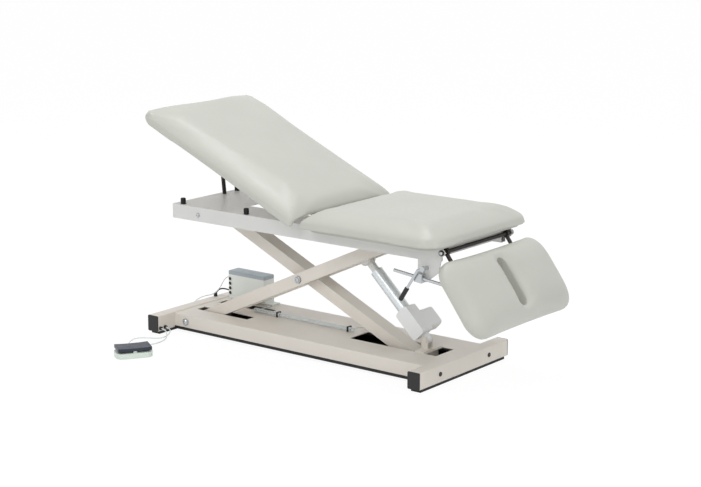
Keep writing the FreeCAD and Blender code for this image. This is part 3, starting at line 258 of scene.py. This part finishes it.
# %% [markdown]
# The frame is powder coated. That paint melts into a skin with a very fine orange peel, so its bump is
# about a millimetre wide and only microns deep. The base and legs are a warm beige grey, the top frame
# a cooler one.

# %% Paint, plastic, rubber and metal
finishes = {
    "frame_paint": plain_finish("warm_powder_paint", linear(226, 220, 211), 0.42, 700, 0.00006, 0.02),
    "rail_paint": plain_finish("cool_powder_paint", linear(216, 216, 214), 0.40, 700, 0.00006, 0.02),
    "black_plastic": plain_finish("black_moulding", linear(24, 24, 25), 0.45, 500, 0.00012, 0.15),
    # This black finish also dresses a black sheet under the base, which is painted shade where the floor
    # inside the base lies in shade. It also dresses the pan's edge trim, a real black trim made deeper so
    # that it also paints the contact shadow below the pan.
    "black_rubber": plain_finish("black_rubber", linear(21, 21, 22), 0.70, 380, 0.00020, 0.2),
    "bright_steel": plain_finish("zinc_plate", linear(196, 199, 202), 0.27, 160, 0.00005, 0.06, Metallic=1.0),
    "bronze_bush": plain_finish("bronze_bush", linear(150, 112, 70), 0.35, 260, 0.00004, 0.08, Metallic=1.0),
    "white_plastic": plain_finish("actuator_moulding", linear(238, 240, 240), 0.36, 420, 0.00010, 0.015),
    "tube_aluminium": plain_finish("satin_tube", linear(229, 235, 238), 0.31, 90, 0.00002, 0.02, (1, 9, 1),
                                   Metallic=0.4),
    "black_steel": plain_finish("blackened_steel", linear(46, 40, 38), 0.42, 240, 0.00008, 0.2,
                                Metallic=0.55),
    "box_plastic": plain_finish("box_moulding", linear(236, 240, 236), 0.45, 520, 0.00014, 0.02),
    "lid_plastic": plain_finish("lid_moulding", linear(170, 181, 188), 0.45, 520, 0.00014, 0.03),
    "switch_base": plain_finish("switch_moulding", linear(216, 227, 218), 0.40, 520, 0.00014, 0.02),
    "rocker_plastic": plain_finish("rocker_moulding", linear(32, 41, 56), 0.42, 460, 0.00016, 0.1),
    "white_cord": plain_finish("pale_lead_skin", linear(229, 236, 237), 0.30, 600, 0.00004, 0.02),
    "black_cord": plain_finish("dark_lead_skin", linear(26, 26, 27), 0.48, 600, 0.00008, 0.15),
}
print("plain finishes", len(finishes))

# %% [markdown]
# Upholstery vinyl is a plastic skin pressed with a leather grain. Small Voronoi cells give the pebbles, a
# softer noise makes them uneven, and a slow noise keeps the large faces from looking like painted metal.

# %% Vinyl
vinyl_colour = linear(189, 190, 182)
vinyl, vinyl_tree, vinyl_shader = new_finish("stone_vinyl", Coat_Weight=0.08, Coat_Roughness=0.38)
vinyl_place = object_place(vinyl_tree)
vinyl_tones = two_tones(vinyl_tree, noise(vinyl_tree, vinyl_place, 5.0), toned(vinyl_colour, 0.975),
                        toned(vinyl_colour, 1.02))
vinyl_tree.links.new(vinyl_tones, vinyl_shader.inputs["Base Color"])
vinyl_rough = spread(vinyl_tree, noise(vinyl_tree, vinyl_place, 60.0), 0.40, 0.48)
vinyl_tree.links.new(vinyl_rough, vinyl_shader.inputs["Roughness"])
pebbles = vinyl_tree.nodes.new("ShaderNodeTexVoronoi")
pebbles.inputs["Scale"].default_value = 620
vinyl_tree.links.new(vinyl_place, pebbles.inputs["Vector"])
uneven = vinyl_tree.nodes.new("ShaderNodeMath")
uneven.operation = "ADD"
vinyl_tree.links.new(pebbles.outputs["Distance"], uneven.inputs[0])
vinyl_tree.links.new(noise(vinyl_tree, vinyl_place, 240.0), uneven.inputs[1])
bumped(vinyl_tree, vinyl_shader, uneven.outputs["Value"], 0.00012)
finishes["pad_vinyl"] = vinyl
print("vinyl nodes", len(vinyl_tree.nodes))

# %% [markdown]
# The boards under the pads are plywood with a pale sealing coat. Thin layers show at the edges as bands
# across the height, and a stretched noise gives the long grain of the faces.

# %% Plywood
ply, ply_tree, ply_shader = new_finish("sealed_plywood", Roughness=0.62)
ply_grain = noise(ply_tree, object_place(ply_tree, (6, 90, 420)), 3.0, 5.0)
ply_tree.links.new(two_tones(ply_tree, ply_grain, (*linear(178, 170, 158), 1), (*linear(206, 200, 190), 1)),
                   ply_shader.inputs["Base Color"])
bumped(ply_tree, ply_shader, ply_grain, 0.0002)
finishes["plywood"] = ply
print("plywood nodes", len(ply_tree.nodes))

# %% [markdown]
# The record already says which finish each solid takes, so a loop dresses them all. Leads and pads are
# dressed here too, or later where they are made.

# %% Dress the CAD nodes
for part in frame["record"]["subparts"]:
    solid = nodes[part["node"]]
    solid.data.materials.clear()
    solid.data.materials.append(finishes[part["material_slot"]])
for lead, slot in ((hose_up, "white_cord"), (hose_down, "white_cord"), (control_lead, "white_cord"),
                   (mains_bend, "black_cord"), (curly_lead, "white_cord")):
    lead.data.materials.append(finishes[slot])

# %% [markdown]
# A pad is foam on a board with vinyl pulled over it. Its solid already has the outline and a rough crown,
# so the pad starts from a copy of that mesh: merge its loose triangles, remesh it evenly, soften it, then let
# Cloth with inner pressure swell it. What touches the board is pinned, and no point may move past a cap.
# Each pad is worked in its own level frame, so a helper turns points back about its hinge.


# %% Pad helpers
def level_frame(hinge_x, hinge_z, degrees):
    there = Matrix.Translation((hinge_x / 1000, 0, hinge_z / 1000))
    return there @ Matrix.Rotation(math.radians(degrees), 4, "Y") @ there.inverted()


def evaluated_mesh(piece):
    depsgraph = bpy.context.evaluated_depsgraph_get()
    return bpy.data.meshes.new_from_object(piece.evaluated_get(depsgraph))


def linked(name, mesh):
    piece = bpy.data.objects.new(name, mesh)
    bpy.context.collection.objects.link(piece)
    return piece


def remeshed_copy(name, node, voxel, turn_back):
    mesh = nodes[node].data.copy()
    mesh.transform(turn_back)
    work = bmesh.new()
    work.from_mesh(mesh)
    bmesh.ops.remove_doubles(work, verts=work.verts, dist=1e-5)
    work.to_mesh(mesh)
    work.free()
    piece = linked(name, mesh)
    remesh = piece.modifiers.new("even_mesh", "REMESH")
    remesh.mode = "VOXEL"
    remesh.voxel_size = voxel
    even = evaluated_mesh(piece)
    piece.modifiers.clear()
    piece.data = even
    return piece


def swell(piece, pinned, cap, pressure=4.0, frames=20):
    before = [v.co.copy() for v in piece.data.vertices]
    group = piece.vertex_groups.new(name="board_side")
    group.add(pinned, 1.0, "REPLACE")
    cloth = piece.modifiers.new("vinyl", "CLOTH")
    cloth.settings.use_pressure = True
    cloth.settings.uniform_pressure_force = pressure
    cloth.settings.vertex_group_mass = "board_side"
    cloth.settings.quality = 4
    cloth.settings.tension_stiffness = 25
    cloth.settings.compression_stiffness = 25
    cloth.settings.bending_stiffness = 2
    cloth.settings.effector_weights.gravity = 0
    cloth.point_cache.frame_start = 1
    cloth.point_cache.frame_end = frames
    for number in range(1, frames + 1):
        bpy.context.scene.frame_set(number)
    moved = evaluated_mesh(piece)
    piece.modifiers.clear()
    bpy.context.scene.frame_set(1)
    furthest = 0.0
    for vertex, old, new in zip(piece.data.vertices, before, moved.vertices):
        step = new.co - old
        if step.length > cap:
            step = step * (cap / step.length)
        furthest = max(furthest, step.length)
        vertex.co = old + step
    return furthest


def soften(piece, free, rounds):
    work = bmesh.new()
    work.from_mesh(piece.data)
    work.verts.ensure_lookup_table()
    loose = [work.verts[i] for i in free]
    for _ in range(rounds):
        bmesh.ops.smooth_vert(work, verts=loose, factor=0.5, use_axis_x=True, use_axis_y=True,
                              use_axis_z=True)
    work.to_mesh(piece.data)
    work.free()


def finished_pad(piece, body, node, turn):
    refine = piece.modifiers.new("smooth_skin", "SUBSURF")
    refine.levels = 1
    refine.render_levels = 1
    mesh = evaluated_mesh(piece)
    piece.modifiers.clear()
    piece.vertex_groups.clear()
    piece.data = mesh
    mesh.transform(turn)
    mesh.materials.clear()
    mesh.materials.append(vinyl)
    for polygon in mesh.polygons:
        polygon.use_smooth = True
    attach(piece, body)
    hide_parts(node)


# %% [markdown]
# The three pads differ only in their box, their hinge and how deep their board sits, so one function makes
# them. Foam under a tight skin thins out towards the edges over a hand's breadth, and most of all at the
# corners, so each pad gets a shoulder on every side and a gentle dome before the pressure. The ends at the
# hinge have a shorter shoulder. A slot in the drop pad gets a pillowed rim in the same pass.


# %% Make a pad
SIDE_REACH = 0.13
STRETCH = 0.25
BOARD_INSET = 0.028
WAIST_SHARE = 0.4
EDGE_SHARE = 0.40
DOME = 0.008
RIM_REACH = 0.038
RIM_DIP = 0.017
SLOT_LIP = 0.014


def shoulder(distance, reach):
    return 1 - (1 - min(max(distance / reach, 0.0), 1.0)) ** 2.2


def slot_distance(x, y, slot):
    start, end, half = slot
    nearest = min(max(x, start + half), end - half)
    return math.hypot(x - nearest, y) - half


def upholster(name, node, body, box, level, pocket, cap, voxel, reaches, slot=None, longer=0.0):
    x0, x1, half, z0, z1 = [value / 1000 for value in box]
    waist = z0 + WAIST_SHARE * (z1 - z0)
    piece = remeshed_copy(name, node, voxel, level.inverted())
    pinned = []
    free = []
    for vertex in piece.data.vertices:
        x, y, z = vertex.co
        along = x0 + BOARD_INSET - voxel < x < x1 - BOARD_INSET + voxel
        inside = along and abs(y) < half - BOARD_INSET + voxel
        held = z < z0 + voxel * 0.6 or (inside and z < z0 + pocket / 1000 + voxel * 0.6)
        if slot and slot_distance(x, y, slot) < voxel * 0.7 and z < z1 - SLOT_LIP:
            held = True
        (pinned if held else free).append(vertex.index)
    soften(piece, free, 3)
    for index in free:
        vertex = piece.data.vertices[index]
        x, y, z = vertex.co
        across = max(abs(2 * (x - (x0 + x1) / 2) / (x1 - x0)), abs(y) / half)
        crown = shoulder(x - x0, reaches[0]) * shoulder(x1 - x, reaches[1])
        crown *= shoulder(half - abs(y), SIDE_REACH)
        if z > waist:
            rise = (z - waist) / (z1 - waist)
            thinned = (z - waist) * (EDGE_SHARE + (1 - EDGE_SHARE) * crown)
            vertex.co.z = waist + thinned + DOME * rise * (1 - across ** 2)
            if slot:
                near = max(0.0, 1 - slot_distance(x, y, slot) / RIM_REACH)
                vertex.co.z -= RIM_DIP * rise * near ** 2
    for vertex in piece.data.vertices:
        vertex.co.x -= longer * max(0.0, (x0 + STRETCH - vertex.co.x) / STRETCH)
    soften(piece, free, 4)
    furthest = swell(piece, pinned, cap)
    soften(piece, free, 8)
    finished_pad(piece, body, node, level)
    print(name, "vertices", len(piece.data.vertices), "swelled mm", round(furthest * 1000, 1))


# %% Seat, backrest and drop pad
seat_level = Matrix.Identity(4)
back_level = level_frame(797, 562, 24)
drop_level = level_frame(1432, 538, 53.5)
nose_slot = (1.526, 1.734, 0.026)
SWELL_CAP = 0.006
upholster("seat_cushion", "seat_pad", "top_frame", (812, 1470, 343, 568, 634), seat_level, 1, SWELL_CAP,
          0.008, (0.07, 0.15))
upholster("back_cushion", "backrest_pad", "backrest", (-96, 789, 343, 560, 626), back_level, 37, SWELL_CAP,
          0.008, (0.10, 0.07), longer=0.010)
upholster("drop_cushion", "drop_pad", "drop_section", (1474, 1796, 343, 538, 608), drop_level, 13, SWELL_CAP,
          0.006, (0.11, 0.11), slot=nose_slot)

# %% [markdown]
# Screws repeat, so Geometry Nodes place them. A button head with a round socket recess is turned once in
# bmesh.
# The tree puts it on every point, facing outwards on whichever side of the table the point lies, and
# realizes the copies, because an exported file keeps no instances.


# %% Button head
def turned_profile(name, profile, steps):
    work = bmesh.new()
    rings = []
    for radius, height in profile:
        if radius == 0:
            rings.append([work.verts.new((0, 0, height))])
            continue
        angles = [2 * math.pi * k / steps for k in range(steps)]
        rings.append([work.verts.new((radius * math.cos(a), radius * math.sin(a), height)) for a in angles])
    for lower, upper in zip(rings, rings[1:]):
        for k in range(steps):
            n = (k + 1) % steps
            if len(lower) == 1:
                work.faces.new((lower[0], upper[n], upper[k]))
            elif len(upper) == 1:
                work.faces.new((lower[k], lower[n], upper[0]))
            else:
                work.faces.new((lower[k], lower[n], upper[n], upper[k]))
    bmesh.ops.recalc_face_normals(work, faces=work.faces)
    mesh = bpy.data.meshes.new(name)
    work.to_mesh(mesh)
    work.free()
    return mesh


button_profile = [(0, 0), (1, 0), (1, 0.12), (0.93, 0.3), (0.78, 0.45), (0.55, 0.53), (0.45, 0.53),
                  (0.45, 0.2), (0, 0.14)]
button_head = linked("button_head", turned_profile("button_head", button_profile, 18))


# %% Screw tree
def new_tree(name, result, **inputs):
    tree = bpy.data.node_groups.new(name, "GeometryNodeTree")
    for socket, kind in inputs.items():
        tree.interface.new_socket(socket, in_out="INPUT", socket_type="NodeSocket" + kind)
    tree.interface.new_socket(result, in_out="OUTPUT", socket_type="NodeSocketGeometry")
    return tree, tree.nodes.new, tree.links.new


def screw_tree():
    tree, add, join = new_tree("screws_on_both_sides", "Screws", Points="Geometry", Head="Object",
                               Radius="Float", Finish="Material")
    start, end = add("NodeGroupInput"), add("NodeGroupOutput")
    head, place = add("GeometryNodeObjectInfo"), add("GeometryNodeInstanceOnPoints")
    where, split = add("GeometryNodeInputPosition"), add("ShaderNodeSeparateXYZ")
    side, angle, turn = add("ShaderNodeMath"), add("ShaderNodeMath"), add("ShaderNodeCombineXYZ")
    whole, paint = add("GeometryNodeRealizeInstances"), add("GeometryNodeSetMaterial")
    side.operation = "SIGN"
    angle.operation = "MULTIPLY"
    angle.inputs[1].default_value = -math.pi / 2
    join(where.outputs["Position"], split.inputs["Vector"])
    join(split.outputs["Y"], side.inputs[0])
    join(side.outputs["Value"], angle.inputs[0])
    join(angle.outputs["Value"], turn.inputs["X"])
    join(start.outputs["Points"], place.inputs["Points"])
    join(start.outputs["Head"], head.inputs["Object"])
    join(head.outputs["Geometry"], place.inputs["Instance"])
    join(turn.outputs["Vector"], place.inputs["Rotation"])
    join(start.outputs["Radius"], place.inputs["Scale"])
    join(place.outputs["Instances"], whole.inputs["Geometry"])
    join(whole.outputs["Geometry"], paint.inputs["Geometry"])
    join(start.outputs["Finish"], paint.inputs["Material"])
    join(paint.outputs["Geometry"], end.inputs["Screws"])
    return tree


def set_inputs(modifier, **values):
    for item in modifier.node_group.interface.items_tree:
        if item.in_out == "INPUT" and item.name in values:
            modifier[item.identifier] = values[item.name]


def point_piece(name, places, tree, body, slot, **inputs):
    mesh = bpy.data.meshes.new(name)
    mesh.from_pydata([Vector(p) / 1000 for p in places], [], [])
    piece = linked(name, mesh)
    modifier = piece.modifiers.new("places", "NODES")
    modifier.node_group = tree
    set_inputs(modifier, **inputs)
    solid = evaluated_mesh(piece)
    piece.modifiers.clear()
    piece.data = solid
    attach(piece, body)
    print(name, "faces", len(solid.polygons))
    return piece


# %% Screws on base, legs and top frame
screws = screw_tree()
steel = finishes["bright_steel"]
PIVOT_HEAD = 0.0115
RAIL_HEAD = 0.0075
rail_places = [(202, -234, 526), (202, 234, 526), (1432, -241, 538), (1432, 241, 538)]
point_piece("base_screws", [(92, -204, 45), (92, 204, 45)], screws, "base", "bright_steel",
            Head=button_head, Radius=PIVOT_HEAD, Finish=steel)
point_piece("leg_screws", [(619.8, -97, 287.8), (619.8, 97, 287.8)], screws, "leg_outer", "bright_steel",
            Head=button_head, Radius=PIVOT_HEAD, Finish=steel)
point_piece("rail_screws", rail_places, screws, "top_frame", "bright_steel",
            Head=button_head, Radius=RAIL_HEAD, Finish=steel)

# %% [markdown]
# Under its board each tilting pad shows how it was covered: the vinyl is folded round the edge and stapled
# down in a row. The fold is a thin closed ring. Geometry Nodes walk along its middle line and set a staple
# every few centimetres, turned to follow the line.


# %% Fold and staples
def rounded_line(x0, x1, half, corner, steps=8):
    line = []
    for centre_x, centre_y, first in ((x1 - corner, half - corner, 0), (x0 + corner, half - corner, 90),
                                      (x0 + corner, corner - half, 180), (x1 - corner, corner - half, 270)):
        for step in range(steps + 1):
            angle = math.radians(first + 90 * step / steps)
            line.append((centre_x + corner * math.cos(angle), centre_y + corner * math.sin(angle)))
    return line


def fold_mesh(name, box, corner, under, width, thick):
    x0, x1, half = box
    work = bmesh.new()
    outer = rounded_line(x0, x1, half, corner)
    inner = rounded_line(x0 + width, x1 - width, half - width, corner - width * 0.6)
    loops = [[work.verts.new((x, y, z)) for x, y in line]
             for line, z in ((outer, under), (inner, under), (inner, under - thick), (outer, under - thick))]
    count = len(outer)
    for first, second in zip(loops, loops[1:] + loops[:1]):
        for k in range(count):
            n = (k + 1) % count
            work.faces.new((first[k], first[n], second[n], second[k]))
    bmesh.ops.recalc_face_normals(work, faces=work.faces)
    mesh = bpy.data.meshes.new(name)
    work.to_mesh(mesh)
    work.free()
    return mesh


def staple_tree():
    tree, add, join = new_tree("staples_along_a_line", "Row", Line="Geometry", Staple="Object", Number="Int",
                               Finish="Material")
    start, end = add("NodeGroupInput"), add("NodeGroupOutput")
    curve, walk = add("GeometryNodeMeshToCurve"), add("GeometryNodeResampleCurve")
    staple, place = add("GeometryNodeObjectInfo"), add("GeometryNodeInstanceOnPoints")
    along, turn = add("GeometryNodeInputTangent"), add("FunctionNodeAlignRotationToVector")
    whole, paint = add("GeometryNodeRealizeInstances"), add("GeometryNodeSetMaterial")
    turn.axis = "X"
    turn.pivot_axis = "Z"
    join(start.outputs["Line"], curve.inputs["Mesh"])
    join(curve.outputs["Curve"], walk.inputs["Curve"])
    join(start.outputs["Number"], walk.inputs["Count"])
    join(walk.outputs["Curve"], place.inputs["Points"])
    join(start.outputs["Staple"], staple.inputs["Object"])
    join(staple.outputs["Geometry"], place.inputs["Instance"])
    join(along.outputs["Tangent"], turn.inputs["Vector"])
    join(turn.outputs["Rotation"], place.inputs["Rotation"])
    join(place.outputs["Instances"], whole.inputs["Geometry"])
    join(whole.outputs["Geometry"], paint.inputs["Geometry"])
    join(start.outputs["Finish"], paint.inputs["Material"])
    join(paint.outputs["Geometry"], end.inputs["Row"])
    return tree


FOLD_CORNER = 0.058
STAPLE_CORNER = 0.045
STAPLE_SIZE = (0.011, 0.0014, 0.0012, 1)
staple_mesh = bpy.data.meshes.new("staple_shape")
staple_work = bmesh.new()
bmesh.ops.create_cube(staple_work, size=1.0, matrix=Matrix.Diagonal(STAPLE_SIZE))
staple_work.to_mesh(staple_mesh)
staple_work.free()
staple_shape = linked("staple_shape", staple_mesh)
staples = staple_tree()


def stapled_fold(name, body, box, under, level, number, width=0.034, thick=0.0012):
    box = [value / 1000 for value in box]
    under = under / 1000
    fold = linked(name + "_fold", fold_mesh(name + "_fold", box, FOLD_CORNER, under, width, thick))
    fold.data.transform(level)
    fold.data.materials.append(vinyl)
    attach(fold, body)
    middle = rounded_line(box[0] + width / 2, box[1] - width / 2, box[2] - width / 2, STAPLE_CORNER)
    mesh = bpy.data.meshes.new(name + "_staples")
    mesh.from_pydata([(x, y, under - thick) for x, y in middle],
                     [(k, (k + 1) % len(middle)) for k in range(len(middle))], [])
    row = linked(name + "_staples", mesh)
    modifier = row.modifiers.new("row", "NODES")
    modifier.node_group = staples
    set_inputs(modifier, Staple=staple_shape, Number=number, Finish=steel)
    solid = evaluated_mesh(row)
    row.modifiers.clear()
    row.data = solid
    solid.transform(level)
    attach(row, body)
    print(name, "staples", number, "faces", len(solid.polygons))


stapled_fold("back", "backrest", (-74, 759, 313), 584.2, back_level, 62)
stapled_fold("drop", "drop_section", (1504, 1766, 313), 538, drop_level, 46)

# %% [markdown]
# Rubber bumpers catch the backrest when it is laid flat. Each is turned with a rounded crown and a grip
# groove. One tree places a turned shape upright on any set of points, and is used again for the sockets.


# %% Upright copies
def upright_tree():
    tree, add, join = new_tree("copies_on_points", "Copies", Points="Geometry", Shape="Object", Size="Float",
                               Turn="Rotation", Finish="Material")
    start, end = add("NodeGroupInput"), add("NodeGroupOutput")
    shape, place = add("GeometryNodeObjectInfo"), add("GeometryNodeInstanceOnPoints")
    whole, paint = add("GeometryNodeRealizeInstances"), add("GeometryNodeSetMaterial")
    join(start.outputs["Points"], place.inputs["Points"])
    join(start.outputs["Shape"], shape.inputs["Object"])
    join(shape.outputs["Geometry"], place.inputs["Instance"])
    join(start.outputs["Size"], place.inputs["Scale"])
    join(start.outputs["Turn"], place.inputs["Rotation"])
    join(place.outputs["Instances"], whole.inputs["Geometry"])
    join(whole.outputs["Geometry"], paint.inputs["Geometry"])
    join(start.outputs["Finish"], paint.inputs["Material"])
    join(paint.outputs["Geometry"], end.inputs["Copies"])
    return tree


bumper_profile = [(0, 0), (11, 0), (11, 5), (10.2, 6), (10.2, 8), (11, 9), (11, 21), (10.4, 23.4),
                  (8.6, 24.7), (0, 25)]
bumper_places = [(100, -209, 559), (82, 150, 559), (452, -213, 559), (452, 213, 559)]
MILLIMETRE = 0.001
bumper_shape = linked("bumper_shape", turned_profile("bumper_shape", bumper_profile, 32))
upright = upright_tree()
bumpers = point_piece("deck_bumper_set", bumper_places, upright, "top_frame", "black_rubber",
                      Shape=bumper_shape, Size=MILLIMETRE, Turn=(0, 0, 0), Finish=finishes["black_rubber"])
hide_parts("deck_bumpers")

# %% [markdown]
# The control box shows a column of connectors near its head end. Each has a pale collar round a dark well.

# %% Connectors on the control box
collar_profile = [(0, 0), (9.2, 0), (9.2, 2.2), (8.8, 2.8), (8.0, 2.8), (7.7, 2.2), (7.7, 0.8), (0, 0.8)]
well_profile = [(0, 0.7), (7.6, 0.7), (7.6, 1.1), (2.6, 1.1), (2.4, 1.9), (0, 1.9)]
collar_shape = linked("collar_shape", turned_profile("collar_shape", collar_profile, 24))
well_shape = linked("well_shape", turned_profile("well_shape", well_profile, 24))
connector_places = [(62, 120, 106), (62, 120, 127), (62, 120, 148), (62, 120, 169)]
FACING_NEAR_SIDE = (math.pi / 2, 0, 0)
point_piece("connector_collars", connector_places, upright, "base", "box_plastic", Shape=collar_shape,
            Size=MILLIMETRE, Turn=FACING_NEAR_SIDE, Finish=finishes["box_plastic"])
point_piece("connector_wells", connector_places, upright, "base", "black_plastic", Shape=well_shape,
            Size=MILLIMETRE, Turn=FACING_NEAR_SIDE, Finish=finishes["black_plastic"])

# %% [markdown]
# The foot rocker is a dished plate, low in the middle and higher at its two wings, where a shoe presses.
# A grid is bent to that section, closed below with a hollow over the ears, turned into place and its edges
# eased.


# %% Foot rocker
ROCKER_HALF = (0.069, 0.0425)
ROCKER_TOP = 0.0412
ROCKER_UNDER = 0.0292
HOLLOW_UNDER = 0.0395


def rocker_mesh():
    work = bmesh.new()
    steps = 24
    shares = (-1, -0.96, -0.72, -0.36, 0, 0.36, 0.72, 0.96, 1)
    rows = len(shares) - 1
    switch = Matrix.Translation((0.167, -0.592, 0)) @ Matrix.Rotation(math.radians(57), 4, "Z")
    sheets = []
    for level in (0, 1):
        sheet = []
        for i in range(steps + 1):
            u = 2 * i / steps - 1
            row = []
            for v in shares:
                over_ears = abs(u) < 0.17 and abs(v) < 0.97
                height = HOLLOW_UNDER if over_ears else ROCKER_UNDER
                if level:
                    height = ROCKER_TOP + 0.0022 * abs(u) ** 2 + 0.0006 * (1 - v * v)
                row.append(work.verts.new(switch @ Vector((ROCKER_HALF[0] * u, ROCKER_HALF[1] * v, height))))
            sheet.append(row)
        sheets.append(sheet)
    for sheet in sheets:
        for i in range(steps):
            for j in range(rows):
                work.faces.new((sheet[i][j], sheet[i + 1][j], sheet[i + 1][j + 1], sheet[i][j + 1]))
    low, high = sheets
    rim = [(i, 0) for i in range(steps)] + [(steps, j) for j in range(rows)]
    rim += [(i, rows) for i in range(steps, 0, -1)] + [(0, j) for j in range(rows, 0, -1)]
    for a, b in zip(rim, rim[1:] + rim[:1]):
        work.faces.new((low[a[0]][a[1]], low[b[0]][b[1]], high[b[0]][b[1]], high[a[0]][a[1]]))
    bmesh.ops.recalc_face_normals(work, faces=work.faces)
    mesh = bpy.data.meshes.new("rocker_wings")
    work.to_mesh(mesh)
    work.free()
    return mesh


rocker = linked("rocker_wings", rocker_mesh())
eased = rocker.modifiers.new("eased_edges", "BEVEL")
eased.width = 0.0024
eased.segments = 3
eased.limit_method = "ANGLE"
eased.angle_limit = math.radians(40)
eased_mesh = evaluated_mesh(rocker)
rocker.modifiers.clear()
rocker.data = eased_mesh
rocker.data.materials.append(finishes["rocker_plastic"])
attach(rocker, "foot_rocker")
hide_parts("foot_rocker")
print("rocker faces", len(eased_mesh.polygons))

# %% [markdown]
# Shapes that were only copied from are taken out, so that nothing rides on nothing.

# %% Clear the pattern shapes
for pattern in (button_head, bumper_shape, collar_shape, well_shape, staple_shape):
    bpy.data.objects.remove(pattern)
print("pattern shapes cleared")

# %% [markdown]
# The studio is a white floor that runs away into a white world. Light Path shows plain white to the camera
# and to reflections, so that metal shows the same room, while the light that falls on the table is lower. The
# floor keeps part of its own shading, so the table still casts a soft shadow.


# %% Floor and world
def seen_directly(tree):
    path = tree.nodes.new("ShaderNodeLightPath")
    seen = path.outputs["Is Camera Ray"]
    for ray in ("Is Glossy Ray", "Is Transmission Ray"):
        either = tree.nodes.new("ShaderNodeMath")
        either.operation = "MAXIMUM"
        tree.links.new(seen, either.inputs[0])
        tree.links.new(path.outputs[ray], either.inputs[1])
        seen = either.outputs["Value"]
    return seen


WORLD_LIGHT = 0.66
PAPER_TONE = 0.93
PAPER_GLOW = 1.05
GLOW_SHARE = 0.86

world = bpy.data.worlds.new("studio_world")
world.use_nodes = True
bpy.context.scene.world = world
backdrop = world.node_tree.nodes["Background"]
backdrop.inputs["Color"].default_value = (1, 1, 1, 1)
strength = world.node_tree.nodes.new("ShaderNodeMapRange")
strength.inputs["To Min"].default_value = WORLD_LIGHT
strength.inputs["To Max"].default_value = 1.0
world.node_tree.links.new(seen_directly(world.node_tree), strength.inputs["Value"])
world.node_tree.links.new(strength.outputs["Result"], backdrop.inputs["Strength"])

floor_mesh = bpy.data.meshes.new("studio_floor")
floor_mesh.from_pydata([(-40, -40, 0), (40, -40, 0), (40, 40, 0), (-40, 40, 0)], [], [(0, 1, 2, 3)])
floor = linked("studio_floor", floor_mesh)
floor_finish, floor_tree, floor_shader = new_finish("studio_paper", Roughness=0.9)
floor_shader.inputs["Base Color"].default_value = (PAPER_TONE, PAPER_TONE, PAPER_TONE, 1)
glow = floor_tree.nodes.new("ShaderNodeEmission")
glow.inputs["Strength"].default_value = PAPER_GLOW
mix = floor_tree.nodes.new("ShaderNodeMixShader")
share = floor_tree.nodes.new("ShaderNodeMath")
share.operation = "MULTIPLY"
share.inputs[1].default_value = GLOW_SHARE
floor_tree.links.new(seen_directly(floor_tree), share.inputs[0])
floor_tree.links.new(share.outputs["Value"], mix.inputs["Fac"])
floor_tree.links.new(floor_shader.outputs["BSDF"], mix.inputs[1])
floor_tree.links.new(glow.outputs["Emission"], mix.inputs[2])
floor_out = floor_tree.nodes["Material Output"]
floor_tree.links.new(mix.outputs["Shader"], floor_out.inputs["Surface"])
floor_mesh.materials.append(floor_finish)
print("floor and world set")

# %% [markdown]
# Three round soft lamps stand where a studio would put them: one at the near side, a weak one at the foot
# end, and the strongest over the backrest, which draws the soft shade along the pads' edges. They are low
# enough that no pale surface burns out.


# %% Lamps
def soft_lamp(name, place, aim, size, power):
    data = bpy.data.lights.new(name, "AREA")
    data.shape = "DISK"
    data.size = size
    data.energy = power
    lamp = bpy.data.objects.new(name, data)
    lamp.location = place
    lamp.rotation_euler = (Vector(aim) - Vector(place)).to_track_quat("-Z", "Y").to_euler()
    bpy.context.collection.objects.link(lamp)


soft_lamp("key_lamp", (1.2, -4.2, 3.4), (0.7, 0, 0.4), 2.4, 52)
soft_lamp("end_lamp", (4.6, -0.9, 2.1), (0.9, 0, 0.4), 1.7, 24)
soft_lamp("top_lamp", (0.1, 0.7, 4.6), (0.6, 0, 0.6), 1.8, 58)
print("lamps set")
